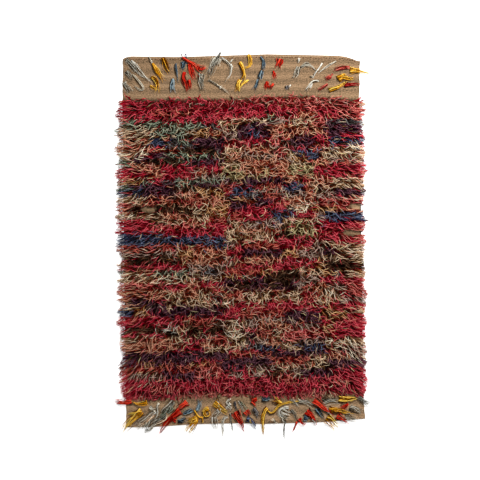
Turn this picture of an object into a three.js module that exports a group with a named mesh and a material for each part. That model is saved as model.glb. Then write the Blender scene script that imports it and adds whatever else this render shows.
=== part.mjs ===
// A long-pile hand-woven wool rug, laid flat with its pile up.
//
// The ground is one wool cloth. It is woven flat, kilim fashion, and left bare at both ends,
// where it is turned over and stitched down as a hem. Between the bare ends long yarns are
// knotted in, row by row, so close that they hide the ground and hang past its sides. On the
// bare ends single tufts of coloured yarn are knotted in three rows.
//
// Millimetres. X runs across the rug, Y along it from the near end to the far end, Z up from the
// floor. The tables are measured from the middle of the ground cloth, and the whole rug is then
// shifted so that the origin is under the middle of its box.

import * as THREE from "three";

// Ground cloth.
const CLOTH_HALF_WIDTH = 597;
const CLOTH_THICKNESS = 4;
const CLOTH_UNEVENNESS = 0.8;
const CLOTH_WAVE_ACROSS = 70;
const CLOTH_WAVE_ALONG = 48;
const HEM_WIDTH = 22;
const HEM_THICKNESS = 7;
const HEM_STEP = 5;
const CLOTH_COLUMNS = 16;
const CLOTH_ROWS = 10;

// Pile.
const GAP = 0.3;
const PILE_HEIGHT = 30;
const PILE_ROW_PITCH = 104;
const PILE_ROW_RELIEF = 7;
const PILE_LUMP = 5;
const PILE_LUMP_ACROSS = 83;
const PILE_LUMP_ALONG = 61;
const PILE_EDGE_HEIGHT = 16;
const PILE_EDGE_FADE = 70;
const PILE_END_FRAY = 12;
const LOCK_TIP_REACH = 36;
const LOCK_NOTCH_REACH = 9;
const LOCK_TIP_HEIGHT = 11;
const LOCK_TIP_LIFT = 1.5;
const LOCK_START = 1;
const PILE_COLUMNS = 18;
const PILE_ROWS = 62;

// Tufts.
const TUFT_SIDES = 5;
const TUFT_FLATNESS = 0.62;
const TUFT_STRAIGHT_STEPS = 3;
const TUFT_CURVED_STEPS = 6;
const TUFT_COIL_STEPS = 12;
const TUFT_END_SHARE = 0.45;
const TUFT_CLEARANCE = 0.6;
const TUFT_FLOOR_LIFT = 0.8;
const TUFT_DROP = 26;
const COIL_SWEEP = 5.4;

// The ends of the cloth as they lie: across, and how far along that end reaches.
const FAR_END = [
  { across: -604, along: 906 },
  { across: -565, along: 924 },
  { across: -310, along: 920 },
  { across: 130, along: 934 },
  { across: 515, along: 924 },
  { across: 555, along: 909 },
  { across: 584, along: 902 },
];
const NEAR_END = [
  { across: -590, along: -931 },
  { across: -465, along: -930 },
  { across: -255, along: -916 },
  { across: -35, along: -911 },
  { across: 80, along: -915 },
  { across: 385, along: -905 },
  { across: 610, along: -887 },
];

// The sides of the cloth: along, and how far across that side reaches.
const LEFT_SIDE = [
  { along: -931, across: -590 },
  { along: -860, across: -586 },
  { along: -790, across: -590 },
  { along: 715, across: -606 },
  { along: 906, across: -603 },
];
const RIGHT_SIDE = [
  { along: -887, across: 610 },
  { along: -800, across: 603 },
  { along: 715, across: 581 },
  { along: 902, across: 584 },
];

// The ends of the pile, where its last row of yarns falls over the bare cloth.
const PILE_FAR_END = [
  { across: -604, along: 712 },
  { across: -100, along: 717 },
  { across: 150, along: 731 },
  { across: 330, along: 733 },
  { across: 582, along: 713 },
];
const PILE_NEAR_END = [
  { across: -600, along: -784 },
  { across: -450, along: -790 },
  { across: -250, along: -774 },
  { across: 0, along: -769 },
  { across: 220, along: -781 },
  { across: 330, along: -777 },
  { across: 480, along: -766 },
  { across: 604, along: -766 },
];

// One row for each tuft: its yarn, how wide the bundle lies, and the places it runs from, by
// and to. A tuft without a "by" lies straight.
const FAR_TUFTS = [
  { yarn: "grey", width: 16, from: [-572, 902], to: [-540, 870] },
  { yarn: "cream", width: 7, from: [-527, 882], by: [-474, 810], to: [-516, 838] },
  { yarn: "cream", width: 8, from: [-538, 812], by: [-494, 752], to: [-541, 770] },
  { yarn: "grey", width: 18, from: [-592, 790], to: [-567, 744] },
  { yarn: "yellow", width: 10, from: [-466, 918], by: [-446, 878], to: [-406, 818] },
  { yarn: "yellow", width: 12, from: [-462, 816], by: [-425, 795], to: [-434, 752] },
  { yarn: "yellow", width: 14, from: [-408, 916], by: [-386, 878], to: [-372, 846] },
  { yarn: "blue", width: 13, from: [-357, 808], to: [-357, 750] },
  { yarn: "red", width: 13, from: [-298, 916], by: [-255, 886], to: [-212, 855] },
  { yarn: "red", width: 13, from: [-268, 866], to: [-243, 808] },
  { yarn: "red", width: 18, from: [-296, 836], to: [-274, 754] },
  { yarn: "grey", width: 18, from: [-212, 808], to: [-205, 754] },
  { yarn: "grey", width: 22, from: [-130, 920], by: [-155, 880], to: [-175, 818] },
  { yarn: "cream", width: 8, from: [-108, 916], by: [-60, 872], to: [-86, 804] },
  { yarn: "yellow", width: 12, from: [-25, 906], by: [6, 862], to: [-8, 808] },
  { yarn: "yellow", width: 16, from: [-32, 800], to: [-31, 752] },
  { yarn: "blue", width: 14, from: [96, 912], to: [101, 852] },
  { yarn: "blue", width: 16, from: [80, 836], to: [82, 806] },
  { yarn: "red", width: 20, from: [178, 905], to: [174, 866] },
  { yarn: "red", width: 10, from: [119, 792], by: [128, 759], to: [156, 785] },
  { yarn: "grey", width: 14, from: [266, 866], by: [254, 838], to: [256, 808] },
  { yarn: "grey", width: 9, from: [286, 862], by: [320, 884], to: [352, 862] },
  { yarn: "cream", width: 9, from: [396, 886], by: [370, 852], to: [347, 816] },
  { yarn: "cream", width: 11, from: [372, 798], by: [332, 786], to: [310, 756] },
  { yarn: "red", width: 11, from: [525, 874], by: [490, 868], to: [456, 855] },
  { yarn: "yellow", width: 12, from: [530, 850], by: [580, 852], to: [628, 838] },
  { yarn: "yellow", width: 14, from: [482, 818], by: [512, 816], to: [542, 806] },
  { yarn: "yellow", width: 12, from: [505, 794], by: [468, 768], to: [434, 754] },
  { yarn: "red", width: 12, from: [575, 780], to: [522, 776] },
];
const NEAR_TUFTS = [
  { yarn: "red", width: 12, from: [-555, -805], by: [-600, -804], to: [-646, -796] },
  { yarn: "yellow", width: 22, from: [-508, -848], by: [-545, -888], to: [-592, -942] },
  { yarn: "cream", width: 9, from: [-420, -808], by: [-424, -856], to: [-462, -892] },
  { yarn: "cream", width: 12, from: [-452, -864], by: [-490, -896], to: [-540, -930] },
  { yarn: "grey", width: 9, from: [-404, -898], by: [-440, -918], to: [-486, -950] },
  { yarn: "red", width: 16, from: [-292, -800], by: [-302, -818], to: [-326, -838] },
  { yarn: "red", width: 13, from: [-314, -857], by: [-364, -890], to: [-420, -958] },
  { yarn: "yellow", width: 20, from: [-180, -846], to: [-190, -872] },
  { yarn: "yellow", width: 14, from: [-240, -896], by: [-256, -912], to: [-276, -954] },
  { yarn: "yellow", width: 12, from: [-150, -806], by: [-114, -828], to: [-80, -856] },
  { yarn: "cream", width: 8, from: [-84, -878], by: [-106, -900], to: [-102, -970] },
  { yarn: "red", width: 13, from: [-42, -850], by: [-20, -886], to: [4, -948] },
  { yarn: "blue", width: 12, from: [14, -886], by: [44, -894], to: [60, -934] },
  { yarn: "yellow", width: 9, from: [94, -888], to: [98, -958] },
  { yarn: "yellow", width: 9, from: [150, -862], by: [172, -832], to: [212, -812] },
  { yarn: "yellow", width: 18, from: [152, -799], to: [180, -802] },
  { yarn: "grey", width: 8, from: [212, -896], by: [206, -925], to: [203, -980] },
  { yarn: "grey", width: 14, from: [270, -798], by: [310, -804], to: [346, -820] },
  { yarn: "red", width: 14, from: [352, -796], by: [394, -826], to: [440, -860] },
  { yarn: "red", width: 14, from: [306, -844], by: [330, -872], to: [362, -916] },
  { yarn: "blue", width: 12, from: [362, -842], by: [378, -866], to: [396, -896] },
  { yarn: "yellow", width: 14, from: [480, -788], by: [520, -790], to: [556, -788] },
  { yarn: "yellow", width: 14, from: [432, -838], by: [475, -845], to: [528, -860] },
  { yarn: "yellow", width: 16, from: [418, -880], by: [440, -890], to: [470, -928] },
  { yarn: "red", width: 12, from: [458, -870], by: [486, -884], to: [520, -908] },
  { yarn: "grey", width: 12, from: [508, -871], by: [536, -880], to: [566, -894] },
  { yarn: "grey", width: 9, from: [572, -788], by: [596, -802], to: [626, -832] },
];

// Two more tufts at the near end lie wound round in a coil.
const NEAR_COILS = [
  { yarn: "cream", width: 7, middle: [-71, -818], radius: 16 },
  { yarn: "cream", width: 9, middle: [204, -855], radius: 27 },
];

const GROUND_WOOL = { color: "#a08a6a", roughness: 0.95 };
const PILE_WOOL = { color: "#7a2f35", roughness: 1.0 };
const TUFT_WOOL = {
  yellow: { color: "#d8940f", roughness: 0.9 },
  red: { color: "#b3201a", roughness: 0.9 },
  blue: { color: "#4a6f86", roughness: 0.9 },
  grey: { color: "#75736a", roughness: 0.9 },
  cream: { color: "#e2dac0", roughness: 0.9 },
};

const { lerp, clamp, smoothstep } = THREE.MathUtils;

// The value of a table at a place between its rows, on the straight line from row to row.
function between(table, place, value, at) {
  const after = table.findIndex((row) => row[place] >= at);
  if (after === 0) return table[0][value];
  if (after < 0) return table[table.length - 1][value];
  const low = table[after - 1];
  const high = table[after];
  return lerp(low[value], high[value], (at - low[place]) / (high[place] - low[place]));
}

const farEnd = (across) => between(FAR_END, "across", "along", across);
const nearEnd = (across) => between(NEAR_END, "across", "along", across);
const leftSide = (along) => between(LEFT_SIDE, "along", "across", along);
const rightSide = (along) => between(RIGHT_SIDE, "along", "across", along);

// How far a place is from the nearer end of the cloth, and from its nearest edge.
function fromEnd(across, along) {
  return Math.min(farEnd(across) - along, along - nearEnd(across));
}

function fromEdge(across, along) {
  const fromSide = Math.min(across - leftSide(along), rightSide(along) - across);
  return Math.min(fromSide, fromEnd(across, along));
}

// A closed solid between a top and an underside that share one plan. `place(column, row)` gives
// each grid point's across and along, and `top` and `under` its two heights.
function layer(columns, rows, place, top, under) {
  const points = [];
  const triangles = [];
  for (const height of [top, under]) {
    for (let row = 0; row <= rows; row += 1) {
      for (let column = 0; column <= columns; column += 1) {
        const [across, along] = place(column, row);
        points.push(across, along, height(across, along, column, row));
      }
    }
  }
  const above = (column, row) => row * (columns + 1) + column;
  const below = (column, row) => above(column, row) + (columns + 1) * (rows + 1);
  const quad = (a, b, c, d) => triangles.push(a, b, c, a, c, d);
  for (let row = 0; row < rows; row += 1) {
    for (let column = 0; column < columns; column += 1) {
      const corners = [
        [column, row], [column + 1, row], [column + 1, row + 1], [column, row + 1],
      ];
      quad(...corners.map((corner) => above(...corner)));
      quad(...corners.reverse().map((corner) => below(...corner)));
    }
    quad(above(0, row), above(0, row + 1), below(0, row + 1), below(0, row));
    quad(above(columns, row + 1), above(columns, row), below(columns, row), below(columns, row + 1));
  }
  for (let column = 0; column < columns; column += 1) {
    quad(above(column + 1, 0), above(column, 0), below(column, 0), below(column + 1, 0));
    quad(above(column, rows), above(column + 1, rows), below(column + 1, rows), below(column, rows));
  }
  return closedGeometry(points, triangles);
}

function closedGeometry(points, triangles) {
  const geometry = new THREE.BufferGeometry();
  geometry.setAttribute("position", new THREE.Float32BufferAttribute(points, 3));
  geometry.setIndex(triangles);
  geometry.computeVertexNormals();
  return geometry;
}

function wool(name, geometry, look) {
  const material = new THREE.MeshStandardMaterial({ ...look, metalness: 0 });
  const mesh = new THREE.Mesh(geometry, material);
  mesh.name = name;
  return mesh;
}

// The ground cloth: flat underneath, a little uneven on top where it is bare, and twice as
// thick in the hem at each end.
function makeGround() {
  const stations = [
    { share: 0, inset: 0 },
    { share: 0, inset: HEM_WIDTH },
    { share: 0, inset: HEM_WIDTH + HEM_STEP },
  ];
  for (let row = 1; row < CLOTH_ROWS; row += 1) {
    stations.push({ share: row / CLOTH_ROWS, inset: 0 });
  }
  stations.push({ share: 1, inset: -HEM_WIDTH - HEM_STEP });
  stations.push({ share: 1, inset: -HEM_WIDTH });
  stations.push({ share: 1, inset: 0 });
  const place = (column, row) => {
    const share = column / CLOTH_COLUMNS;
    const middle = lerp(-CLOTH_HALF_WIDTH, CLOTH_HALF_WIDTH, share);
    const station = stations[row];
    const along = lerp(nearEnd(middle), farEnd(middle), station.share) + station.inset;
    return [lerp(leftSide(along), rightSide(along), share), along];
  };
  const lastRow = stations.length - 1;
  const top = (across, along, column, row) => {
    if (row <= 1 || row >= lastRow - 1) return HEM_THICKNESS;
    const wave = Math.sin(across / CLOTH_WAVE_ACROSS) * Math.sin(along / CLOTH_WAVE_ALONG);
    return CLOTH_THICKNESS - CLOTH_UNEVENNESS * (1 + wave) / 2;
  };
  return wool("ground", layer(CLOTH_COLUMNS, lastRow, place, top, () => 0), GROUND_WOOL);
}

// How far the lock of yarn at this row hangs past the side of the cloth. Two waves that never
// fall in step make tips and notches of uneven length.
function lockReach(row, side) {
  const waves = Math.sin(2.6 * row + side) + Math.sin(1.31 * row + 2 * side);
  return lerp(LOCK_NOTCH_REACH, LOCK_TIP_REACH, clamp(0.5 + 0.32 * waves, 0, 1));
}

// The pile: one shaggy layer on the cloth. Its rows fall over each other in low ridges, and its
// side locks hang past the cloth and down to the floor.
function makePile() {
  const columns = PILE_COLUMNS + 2;
  const place = (column, row) => {
    const inner = clamp((column - 1) / PILE_COLUMNS, 0, 1);
    const middle = lerp(-CLOTH_HALF_WIDTH, CLOTH_HALF_WIDTH, inner);
    const near = between(PILE_NEAR_END, "across", "along", middle);
    const far = between(PILE_FAR_END, "across", "along", middle);
    const fray = PILE_END_FRAY * (column % 2);
    const along = lerp(near + fray, far - fray, row / PILE_ROWS);
    const left = leftSide(along) - LOCK_START;
    const right = rightSide(along) + LOCK_START;
    if (column === 0) return [left - lockReach(row, 1), along];
    if (column === columns) return [right + lockReach(row, 4), along];
    return [lerp(left, right, inner), along];
  };
  const top = (across, along, column) => {
    if (column === 0 || column === columns) return LOCK_TIP_HEIGHT;
    const near = between(PILE_NEAR_END, "across", "along", across);
    const far = between(PILE_FAR_END, "across", "along", across);
    const fromSide = Math.min(across - leftSide(along), rightSide(along) - across);
    const inside = Math.min(fromSide, far - along, along - near);
    const row = along / PILE_ROW_PITCH + 0.35 * Math.sin(across / PILE_LUMP_ACROSS);
    const ridge = PILE_ROW_RELIEF * Math.sin(2 * Math.PI * row);
    const lump = PILE_LUMP * Math.sin(across / PILE_LUMP_ACROSS + along / PILE_ROW_PITCH)
      * Math.cos(along / PILE_LUMP_ALONG);
    return lerp(PILE_EDGE_HEIGHT, PILE_HEIGHT + ridge + lump, smoothstep(inside, 0, PILE_EDGE_FADE));
  };
  const under = (across, along, column) => {
    const isTip = column === 0 || column === columns;
    return isTip ? LOCK_TIP_LIFT : CLOTH_THICKNESS + GAP;
  };
  return wool("pile", layer(columns, PILE_ROWS, place, top, under), PILE_WOOL);
}

// The height that a bundle of this half width lies at: on the cloth, over the hem, or past the
// edge and down to the floor.
function restingHeight(across, along, halfWidth) {
  const onHem = 1 - smoothstep(fromEnd(across, along), HEM_WIDTH + HEM_STEP, HEM_WIDTH + 5 * HEM_STEP);
  const onCloth = lerp(CLOTH_THICKNESS, HEM_THICKNESS, onHem) + TUFT_CLEARANCE;
  const past = -fromEdge(across, along) - halfWidth - HEM_STEP;
  return lerp(onCloth, TUFT_FLOOR_LIFT, clamp(past / TUFT_DROP, 0, 1));
}

// A bundle of yarn along a route of places: a five-sided section, flattened as it lies, thinner
// at its two ends.
function bundle(route, width) {
  const points = [];
  const triangles = [];
  const last = route.length - 1;
  const flat = Math.sin(Math.PI / 2 - Math.PI / TUFT_SIDES);
  route.forEach(([across, along], step) => {
    const before = route[Math.max(step - 1, 0)];
    const after = route[Math.min(step + 1, last)];
    const heading = Math.atan2(after[1] - before[1], after[0] - before[0]);
    const full = Math.sqrt(Math.sin(Math.PI * step / last));
    const halfWidth = (width / 2) * lerp(TUFT_END_SHARE, 1, full);
    const halfHeight = halfWidth * TUFT_FLATNESS;
    const middle = restingHeight(across, along, width / 2) + halfHeight * flat;
    for (let side = 0; side < TUFT_SIDES; side += 1) {
      const angle = Math.PI / 2 + 2 * Math.PI * side / TUFT_SIDES;
      const aside = halfWidth * Math.cos(angle);
      points.push(
        across - aside * Math.sin(heading),
        along + aside * Math.cos(heading),
        middle + halfHeight * Math.sin(angle),
      );
    }
  });
  for (let step = 0; step < last; step += 1) {
    for (let side = 0; side < TUFT_SIDES; side += 1) {
      const a = step * TUFT_SIDES + side;
      const b = step * TUFT_SIDES + (side + 1) % TUFT_SIDES;
      triangles.push(a, b, b + TUFT_SIDES, a, b + TUFT_SIDES, a + TUFT_SIDES);
    }
  }
  const end = last * TUFT_SIDES;
  for (let side = 1; side < TUFT_SIDES - 1; side += 1) {
    triangles.push(0, side + 1, side);
    triangles.push(end, end + side, end + side + 1);
  }
  return closedGeometry(points, triangles);
}

// The smooth curve through the three places of a tuft's row.
function tuftRoute({ from, by, to }) {
  const steps = by ? TUFT_CURVED_STEPS : TUFT_STRAIGHT_STEPS;
  const middle = by ?? [lerp(from[0], to[0], 0.5), lerp(from[1], to[1], 0.5)];
  return Array.from({ length: steps + 1 }, (_, step) => {
    const t = step / steps;
    return [0, 1].map((axis) => 2 * (t - 0.5) * (t - 1) * from[axis]
      + 4 * t * (1 - t) * middle[axis] + 2 * t * (t - 0.5) * to[axis]);
  });
}

function coilRoute({ middle, radius }) {
  return Array.from({ length: TUFT_COIL_STEPS + 1 }, (_, step) => {
    const angle = COIL_SWEEP * step / TUFT_COIL_STEPS;
    return [middle[0] + radius * Math.cos(angle), middle[1] + radius * Math.sin(angle)];
  });
}

function makeTufts(end, rows) {
  return rows.map((row, index) => {
    const name = `tuft_${end}_${String(index + 1).padStart(2, "0")}`;
    const route = row.radius ? coilRoute(row) : tuftRoute(row);
    return wool(name, bundle(route, row.width), TUFT_WOOL[row.yarn]);
  });
}

const rug = new THREE.Group();
rug.add(makeGround(), makePile());
rug.add(...makeTufts("far", FAR_TUFTS));
rug.add(...makeTufts("near", [...NEAR_TUFTS, ...NEAR_COILS]));

const box = new THREE.Box3().setFromObject(rug);
const middle = box.getCenter(new THREE.Vector3());
rug.position.set(-middle.x, -middle.y, -box.min.z);

export default rug;
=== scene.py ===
import math

import bpy
import numpy as np
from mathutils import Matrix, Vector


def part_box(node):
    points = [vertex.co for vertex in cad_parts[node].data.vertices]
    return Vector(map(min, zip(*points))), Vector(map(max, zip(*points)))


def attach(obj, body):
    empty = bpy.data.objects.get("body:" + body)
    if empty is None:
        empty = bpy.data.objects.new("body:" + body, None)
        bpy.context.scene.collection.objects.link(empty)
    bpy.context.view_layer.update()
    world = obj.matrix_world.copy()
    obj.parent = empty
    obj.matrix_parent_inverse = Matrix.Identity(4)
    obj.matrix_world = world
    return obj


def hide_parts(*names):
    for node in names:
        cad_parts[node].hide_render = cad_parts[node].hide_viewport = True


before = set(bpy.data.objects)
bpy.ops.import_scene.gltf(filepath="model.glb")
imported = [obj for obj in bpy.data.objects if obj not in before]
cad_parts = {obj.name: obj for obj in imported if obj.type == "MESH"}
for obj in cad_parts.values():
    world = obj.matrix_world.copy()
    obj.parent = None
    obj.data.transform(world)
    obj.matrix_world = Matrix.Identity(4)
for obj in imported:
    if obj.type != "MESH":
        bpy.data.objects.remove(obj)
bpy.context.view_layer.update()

# ---------------------------------------------------------------------------------------------
# Studio. A plain white floor that glows a little, so that shadows on it stay faint, a wide soft
# light over the far right of the rug and even light from all round, so that the yarns show
# their form. The camera looks straight down on the rug, its far end at the top.

MM = 0.001

# The middle of the ground cloth, from which every place below is measured. The cloth reaches
# this far to the left of it and towards the near end.
CLOTH_LEFT = -606 * MM
CLOTH_NEAR = -931 * MM
ground_low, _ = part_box("ground")
MIDDLE = np.array([ground_low[0] - CLOTH_LEFT, ground_low[1] - CLOTH_NEAR, 0])

VIEW_HEIGHT = 6.0
VIEW_WIDTH = 2.4
VIEW_ASIDE = np.array([-17, 5, 0]) * MM
SENSOR = 36.0

FLOOR_SIZE = 60
FLOOR_DROP = 0.3 * MM
FLOOR_GLOW = 0.55
LIGHT_PLACE = (1.7, 2.4, 2.9)
LIGHT_SIZE = 0.9
LIGHT_POWER = 250
ROOM_LIGHT = 0.33


def linear(hex_colour):
    """An sRGB hex colour as linear red, green, blue and alpha."""
    channels = [int(hex_colour[i:i + 2], 16) / 255 for i in (0, 2, 4)]
    return [c / 12.92 if c <= 0.04045 else ((c + 0.055) / 1.055) ** 2.4 for c in channels] + [1.0]


def new_material(name, roughness):
    """A matt material. Returns the material, its node tree and its Principled shader."""
    material = bpy.data.materials.new(name)
    material.use_nodes = True
    shader = material.node_tree.nodes["Principled BSDF"]
    shader.inputs["Roughness"].default_value = roughness
    return material, material.node_tree, shader


def place_object(name, data):
    """An object at the origin, unturned, linked to the scene."""
    made = bpy.data.objects.new(name, data)
    bpy.context.collection.objects.link(made)
    return made


def make_camera():
    """The lens is the one that sees VIEW_WIDTH from VIEW_HEIGHT."""
    camera = place_object("camera", bpy.data.cameras.new("camera"))
    camera.location = MIDDLE + VIEW_ASIDE + np.array([0, 0, VIEW_HEIGHT])
    camera.data.sensor_width = SENSOR
    camera.data.lens = SENSOR * VIEW_HEIGHT / VIEW_WIDTH
    bpy.context.scene.camera = camera


def make_floor():
    """A white floor just under the rug."""
    bpy.ops.mesh.primitive_plane_add(size=FLOOR_SIZE, location=(0, 0, -FLOOR_DROP))
    floor = bpy.context.object
    floor.name = "floor"
    material, _, shader = new_material("white studio floor", 0.95)
    shader.inputs["Base Color"].default_value = linear("fbfbf9")
    shader.inputs["Emission Color"].default_value = linear("ffffff")
    shader.inputs["Emission Strength"].default_value = FLOOR_GLOW
    floor.data.materials.append(material)


def make_lights():
    """The soft light, turned towards the origin, and the even light of the room."""
    key = place_object("soft_key", bpy.data.lights.new("soft_key", "AREA"))
    key.data.size = LIGHT_SIZE
    key.data.energy = LIGHT_POWER
    key.location = LIGHT_PLACE
    x, y, z = LIGHT_PLACE
    key.rotation_euler = (math.atan2(math.hypot(x, y), z), 0, math.atan2(-y, -x) - math.pi / 2)

    world = bpy.data.worlds.new("even light")
    world.use_nodes = True
    background = world.node_tree.nodes["Background"]
    background.inputs["Color"].default_value = linear("ffffff")
    background.inputs["Strength"].default_value = ROOM_LIGHT
    bpy.context.scene.world = world
    bpy.context.scene.view_settings.view_transform = "Standard"


make_camera()
make_floor()
make_lights()

# ---------------------------------------------------------------------------------------------
# Ground cloth. A wool cloth in weft-faced tapestry weave, left bare at both ends as kilim. The
# natural wool changes a little from shot to shot, which gives faint stripes across. Each end
# is turned under and stitched down, so it lies twice as thick there.

CLOTH_HALF_WIDTH = 597 * MM
CLOTH_THICKNESS = 4 * MM
HEM_WIDTH = 21 * MM
HEM_THICKNESS = 6.8 * MM
HEM_STEP = 8 * MM
CLOTH_EDGE_ROUND = 2.2 * MM
CLOTH_LIFT = 0.2 * MM
# The low waves of the cloth, and how its sides go in and out over their outer part, twice over
# at different lengths.
CLOTH_UNEVENNESS = 0.8 * MM
WAVE_LENGTHS = np.array([70, 48, 31, 90]) * MM
EDGE_WOBBLE = 1.5 * MM
EDGE_WOBBLE_WIDTH = 30 * MM
WOBBLE_LENGTHS = (27 * MM, 11 * MM)
# How many times as light the near end of the cloth is painted, as painted light that makes up for the
# soft light falling off towards it, how much of the light the pile takes, and how much of that the worn
# places get back: more than all, as they are bleached.
NEAR_CLOTH_PAINTED_LIGHT = 1.36
UNDER_PILE = 0.88
WORN_LIGHT = 1.5
# From where to where, inwards from its edge, the shade under the pile and a worn place set in.
SHADE_EDGE = (-2 * MM, 26 * MM)
WORN_EDGE = (-6 * MM, 2 * MM)
# The stripes in the wool, how far they wander, and the beads of the weave, coarser than real.
STRIPE_EVERY = 50 * MM
STRIPE_WANDER = 35 * MM
BEAD_WIDTH = 5 * MM
BEAD_LENGTH = 3 * MM
BEAD_RELIEF = 1.6 * MM

# Rows and columns of the cloth's grid, close together along the edges so that they are round:
# how far in from the end, and the share of the width in from the side.
RIM_ROWS = np.array([0, 0.8, 1.8, 3.2]) * MM
INNER_ROW = 5.5 * MM
RIM_COLUMNS = [0, 0.0006, 0.0015, 0.003]
INNER_COLUMN = 0.007
CLOTH_COLUMNS = 96
# There are this many rows within BARE_LENGTH of each end, and this many between the two.
BARE_LENGTH = 225 * MM
CLOTH_END_ROWS = 34
CLOTH_MIDDLE_ROWS = 64

# The ends of the cloth, in millimetres: across, and how far along that end reaches.
FAR_END = np.array([(-604, 906), (-588, 916), (-560, 923), (-310, 920), (130, 934), (480, 927),
                    (515, 923), (543, 916), (565, 908), (584, 900)]) * MM
NEAR_END = np.array([(-590, -931), (-465, -930), (-255, -916), (-35, -911), (80, -915),
                     (385, -905), (610, -887)]) * MM
# Its sides: along, and how far across that side reaches.
LEFT_SIDE = np.array([(-931, -590), (-860, -586), (-790, -590), (715, -606), (906, -603)]) * MM
RIGHT_SIDE = np.array([(-887, 610), (-800, 603), (715, 581), (902, 584)]) * MM

# Where the pile starts at either end, and three places where its yarns have worn away: left,
# right, near and far.
PILE_FAR = np.array([(-604, 716), (-100, 721), (150, 735), (330, 738), (582, 716)]) * MM
PILE_NEAR = np.array([(-600, -786), (-450, -795), (-250, -780), (0, -774), (220, -786),
                      (330, -782), (480, -770), (604, -770)]) * MM
WORN_PLACES = np.array([(-504, -436, 145, 167), (534, 582, 161, 186), (504, 582, 31, 51)]) * MM


def between(table, at):
    """The table's second column where its first is at, on straight lines from row to row."""
    return np.interp(at, table[:, 0], table[:, 1])


def smooth(low, high, value):
    """0 below low, 1 above high, and a soft S between them."""
    t = np.clip((value - low) / (high - low), 0, 1)
    return t * t * (3 - 2 * t)


def from_end(across, along):
    """How far inside the nearer end of the cloth a place is."""
    return np.minimum(between(FAR_END, across) - along, along - between(NEAR_END, across))


def from_side(across, along):
    """How far inside the nearer side of the cloth a place is."""
    return np.minimum(across - between(LEFT_SIDE, along), between(RIGHT_SIDE, along) - across)


def inside_box(x, y, left, right, low, high):
    """How far inside a rectangle a place is, less than 0 outside it."""
    return np.minimum(np.minimum(x - left, right - x), np.minimum(y - low, high - y))


def cloth_top(across, along):
    """The height of the cloth's upper face away from its edge: the cloth, the hem, and low waves."""
    hem = (HEM_THICKNESS - CLOTH_THICKNESS) * (
        1 - smooth(HEM_WIDTH, HEM_WIDTH + HEM_STEP, from_end(across, along)))
    wave = np.sin(across / WAVE_LENGTHS[0]) * np.sin(along / WAVE_LENGTHS[1])
    wave += np.sin(across / WAVE_LENGTHS[2] + along / WAVE_LENGTHS[3])
    return CLOTH_THICKNESS + hem - CLOTH_UNEVENNESS * (2 + wave) / 4


def open_to_light(across, along):
    """How light the cloth is, as painted light and shade: fully lit on the bare ends, of which the near
    one is painted lighter to make up for the soft light falling off towards it, bleached in the worn
    places, and in painted shade under the pile."""
    inside = np.minimum(between(PILE_FAR, across) - along, along - between(PILE_NEAR, across))
    cover = smooth(*SHADE_EDGE, inside)
    for worn_place in WORN_PLACES:
        worn = smooth(*WORN_EDGE, inside_box(across, along, *worn_place))
        cover = cover * (1 - WORN_LIGHT * worn)
    # Painted light: the near end of the cloth is made lighter than the far one.
    return (1 - UNDER_PILE * cover) * np.where(along < 0, NEAR_CLOTH_PAINTED_LIGHT, 1)


def add_node(tree, kind, inputs=None, **settings):
    """Add a shader node with its settings. Each input is a value, or what to link to it: another
    node's socket, or the node itself for its first output."""
    made = tree.nodes.new("ShaderNode" + kind)
    for name, value in settings.items():
        setattr(made, name, value)
    for key, value in (inputs or {}).items():
        if isinstance(value, bpy.types.Node):
            value = value.outputs[0]
        if isinstance(value, bpy.types.NodeSocket):
            tree.links.new(value, made.inputs[key])
        else:
            made.inputs[key].default_value = value
    return made


def set_ramp(ramp, stops):
    """Give a colour ramp its stops, each a position and a colour."""
    elements = ramp.color_ramp.elements
    for position, colour in stops[1:-1]:
        elements.new(position).color = linear(colour)
    for element, (position, colour) in ((elements[0], stops[0]), (elements[-1], stops[-1])):
        element.position = position
        element.color = linear(colour)


def add_measure(mesh, name, values):
    """Give each point of the mesh a value that its material reads by name."""
    attribute = mesh.attributes.new(name, "FLOAT", "POINT")
    attribute.data.foreach_set("value", values.astype(np.float32).ravel())


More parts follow.
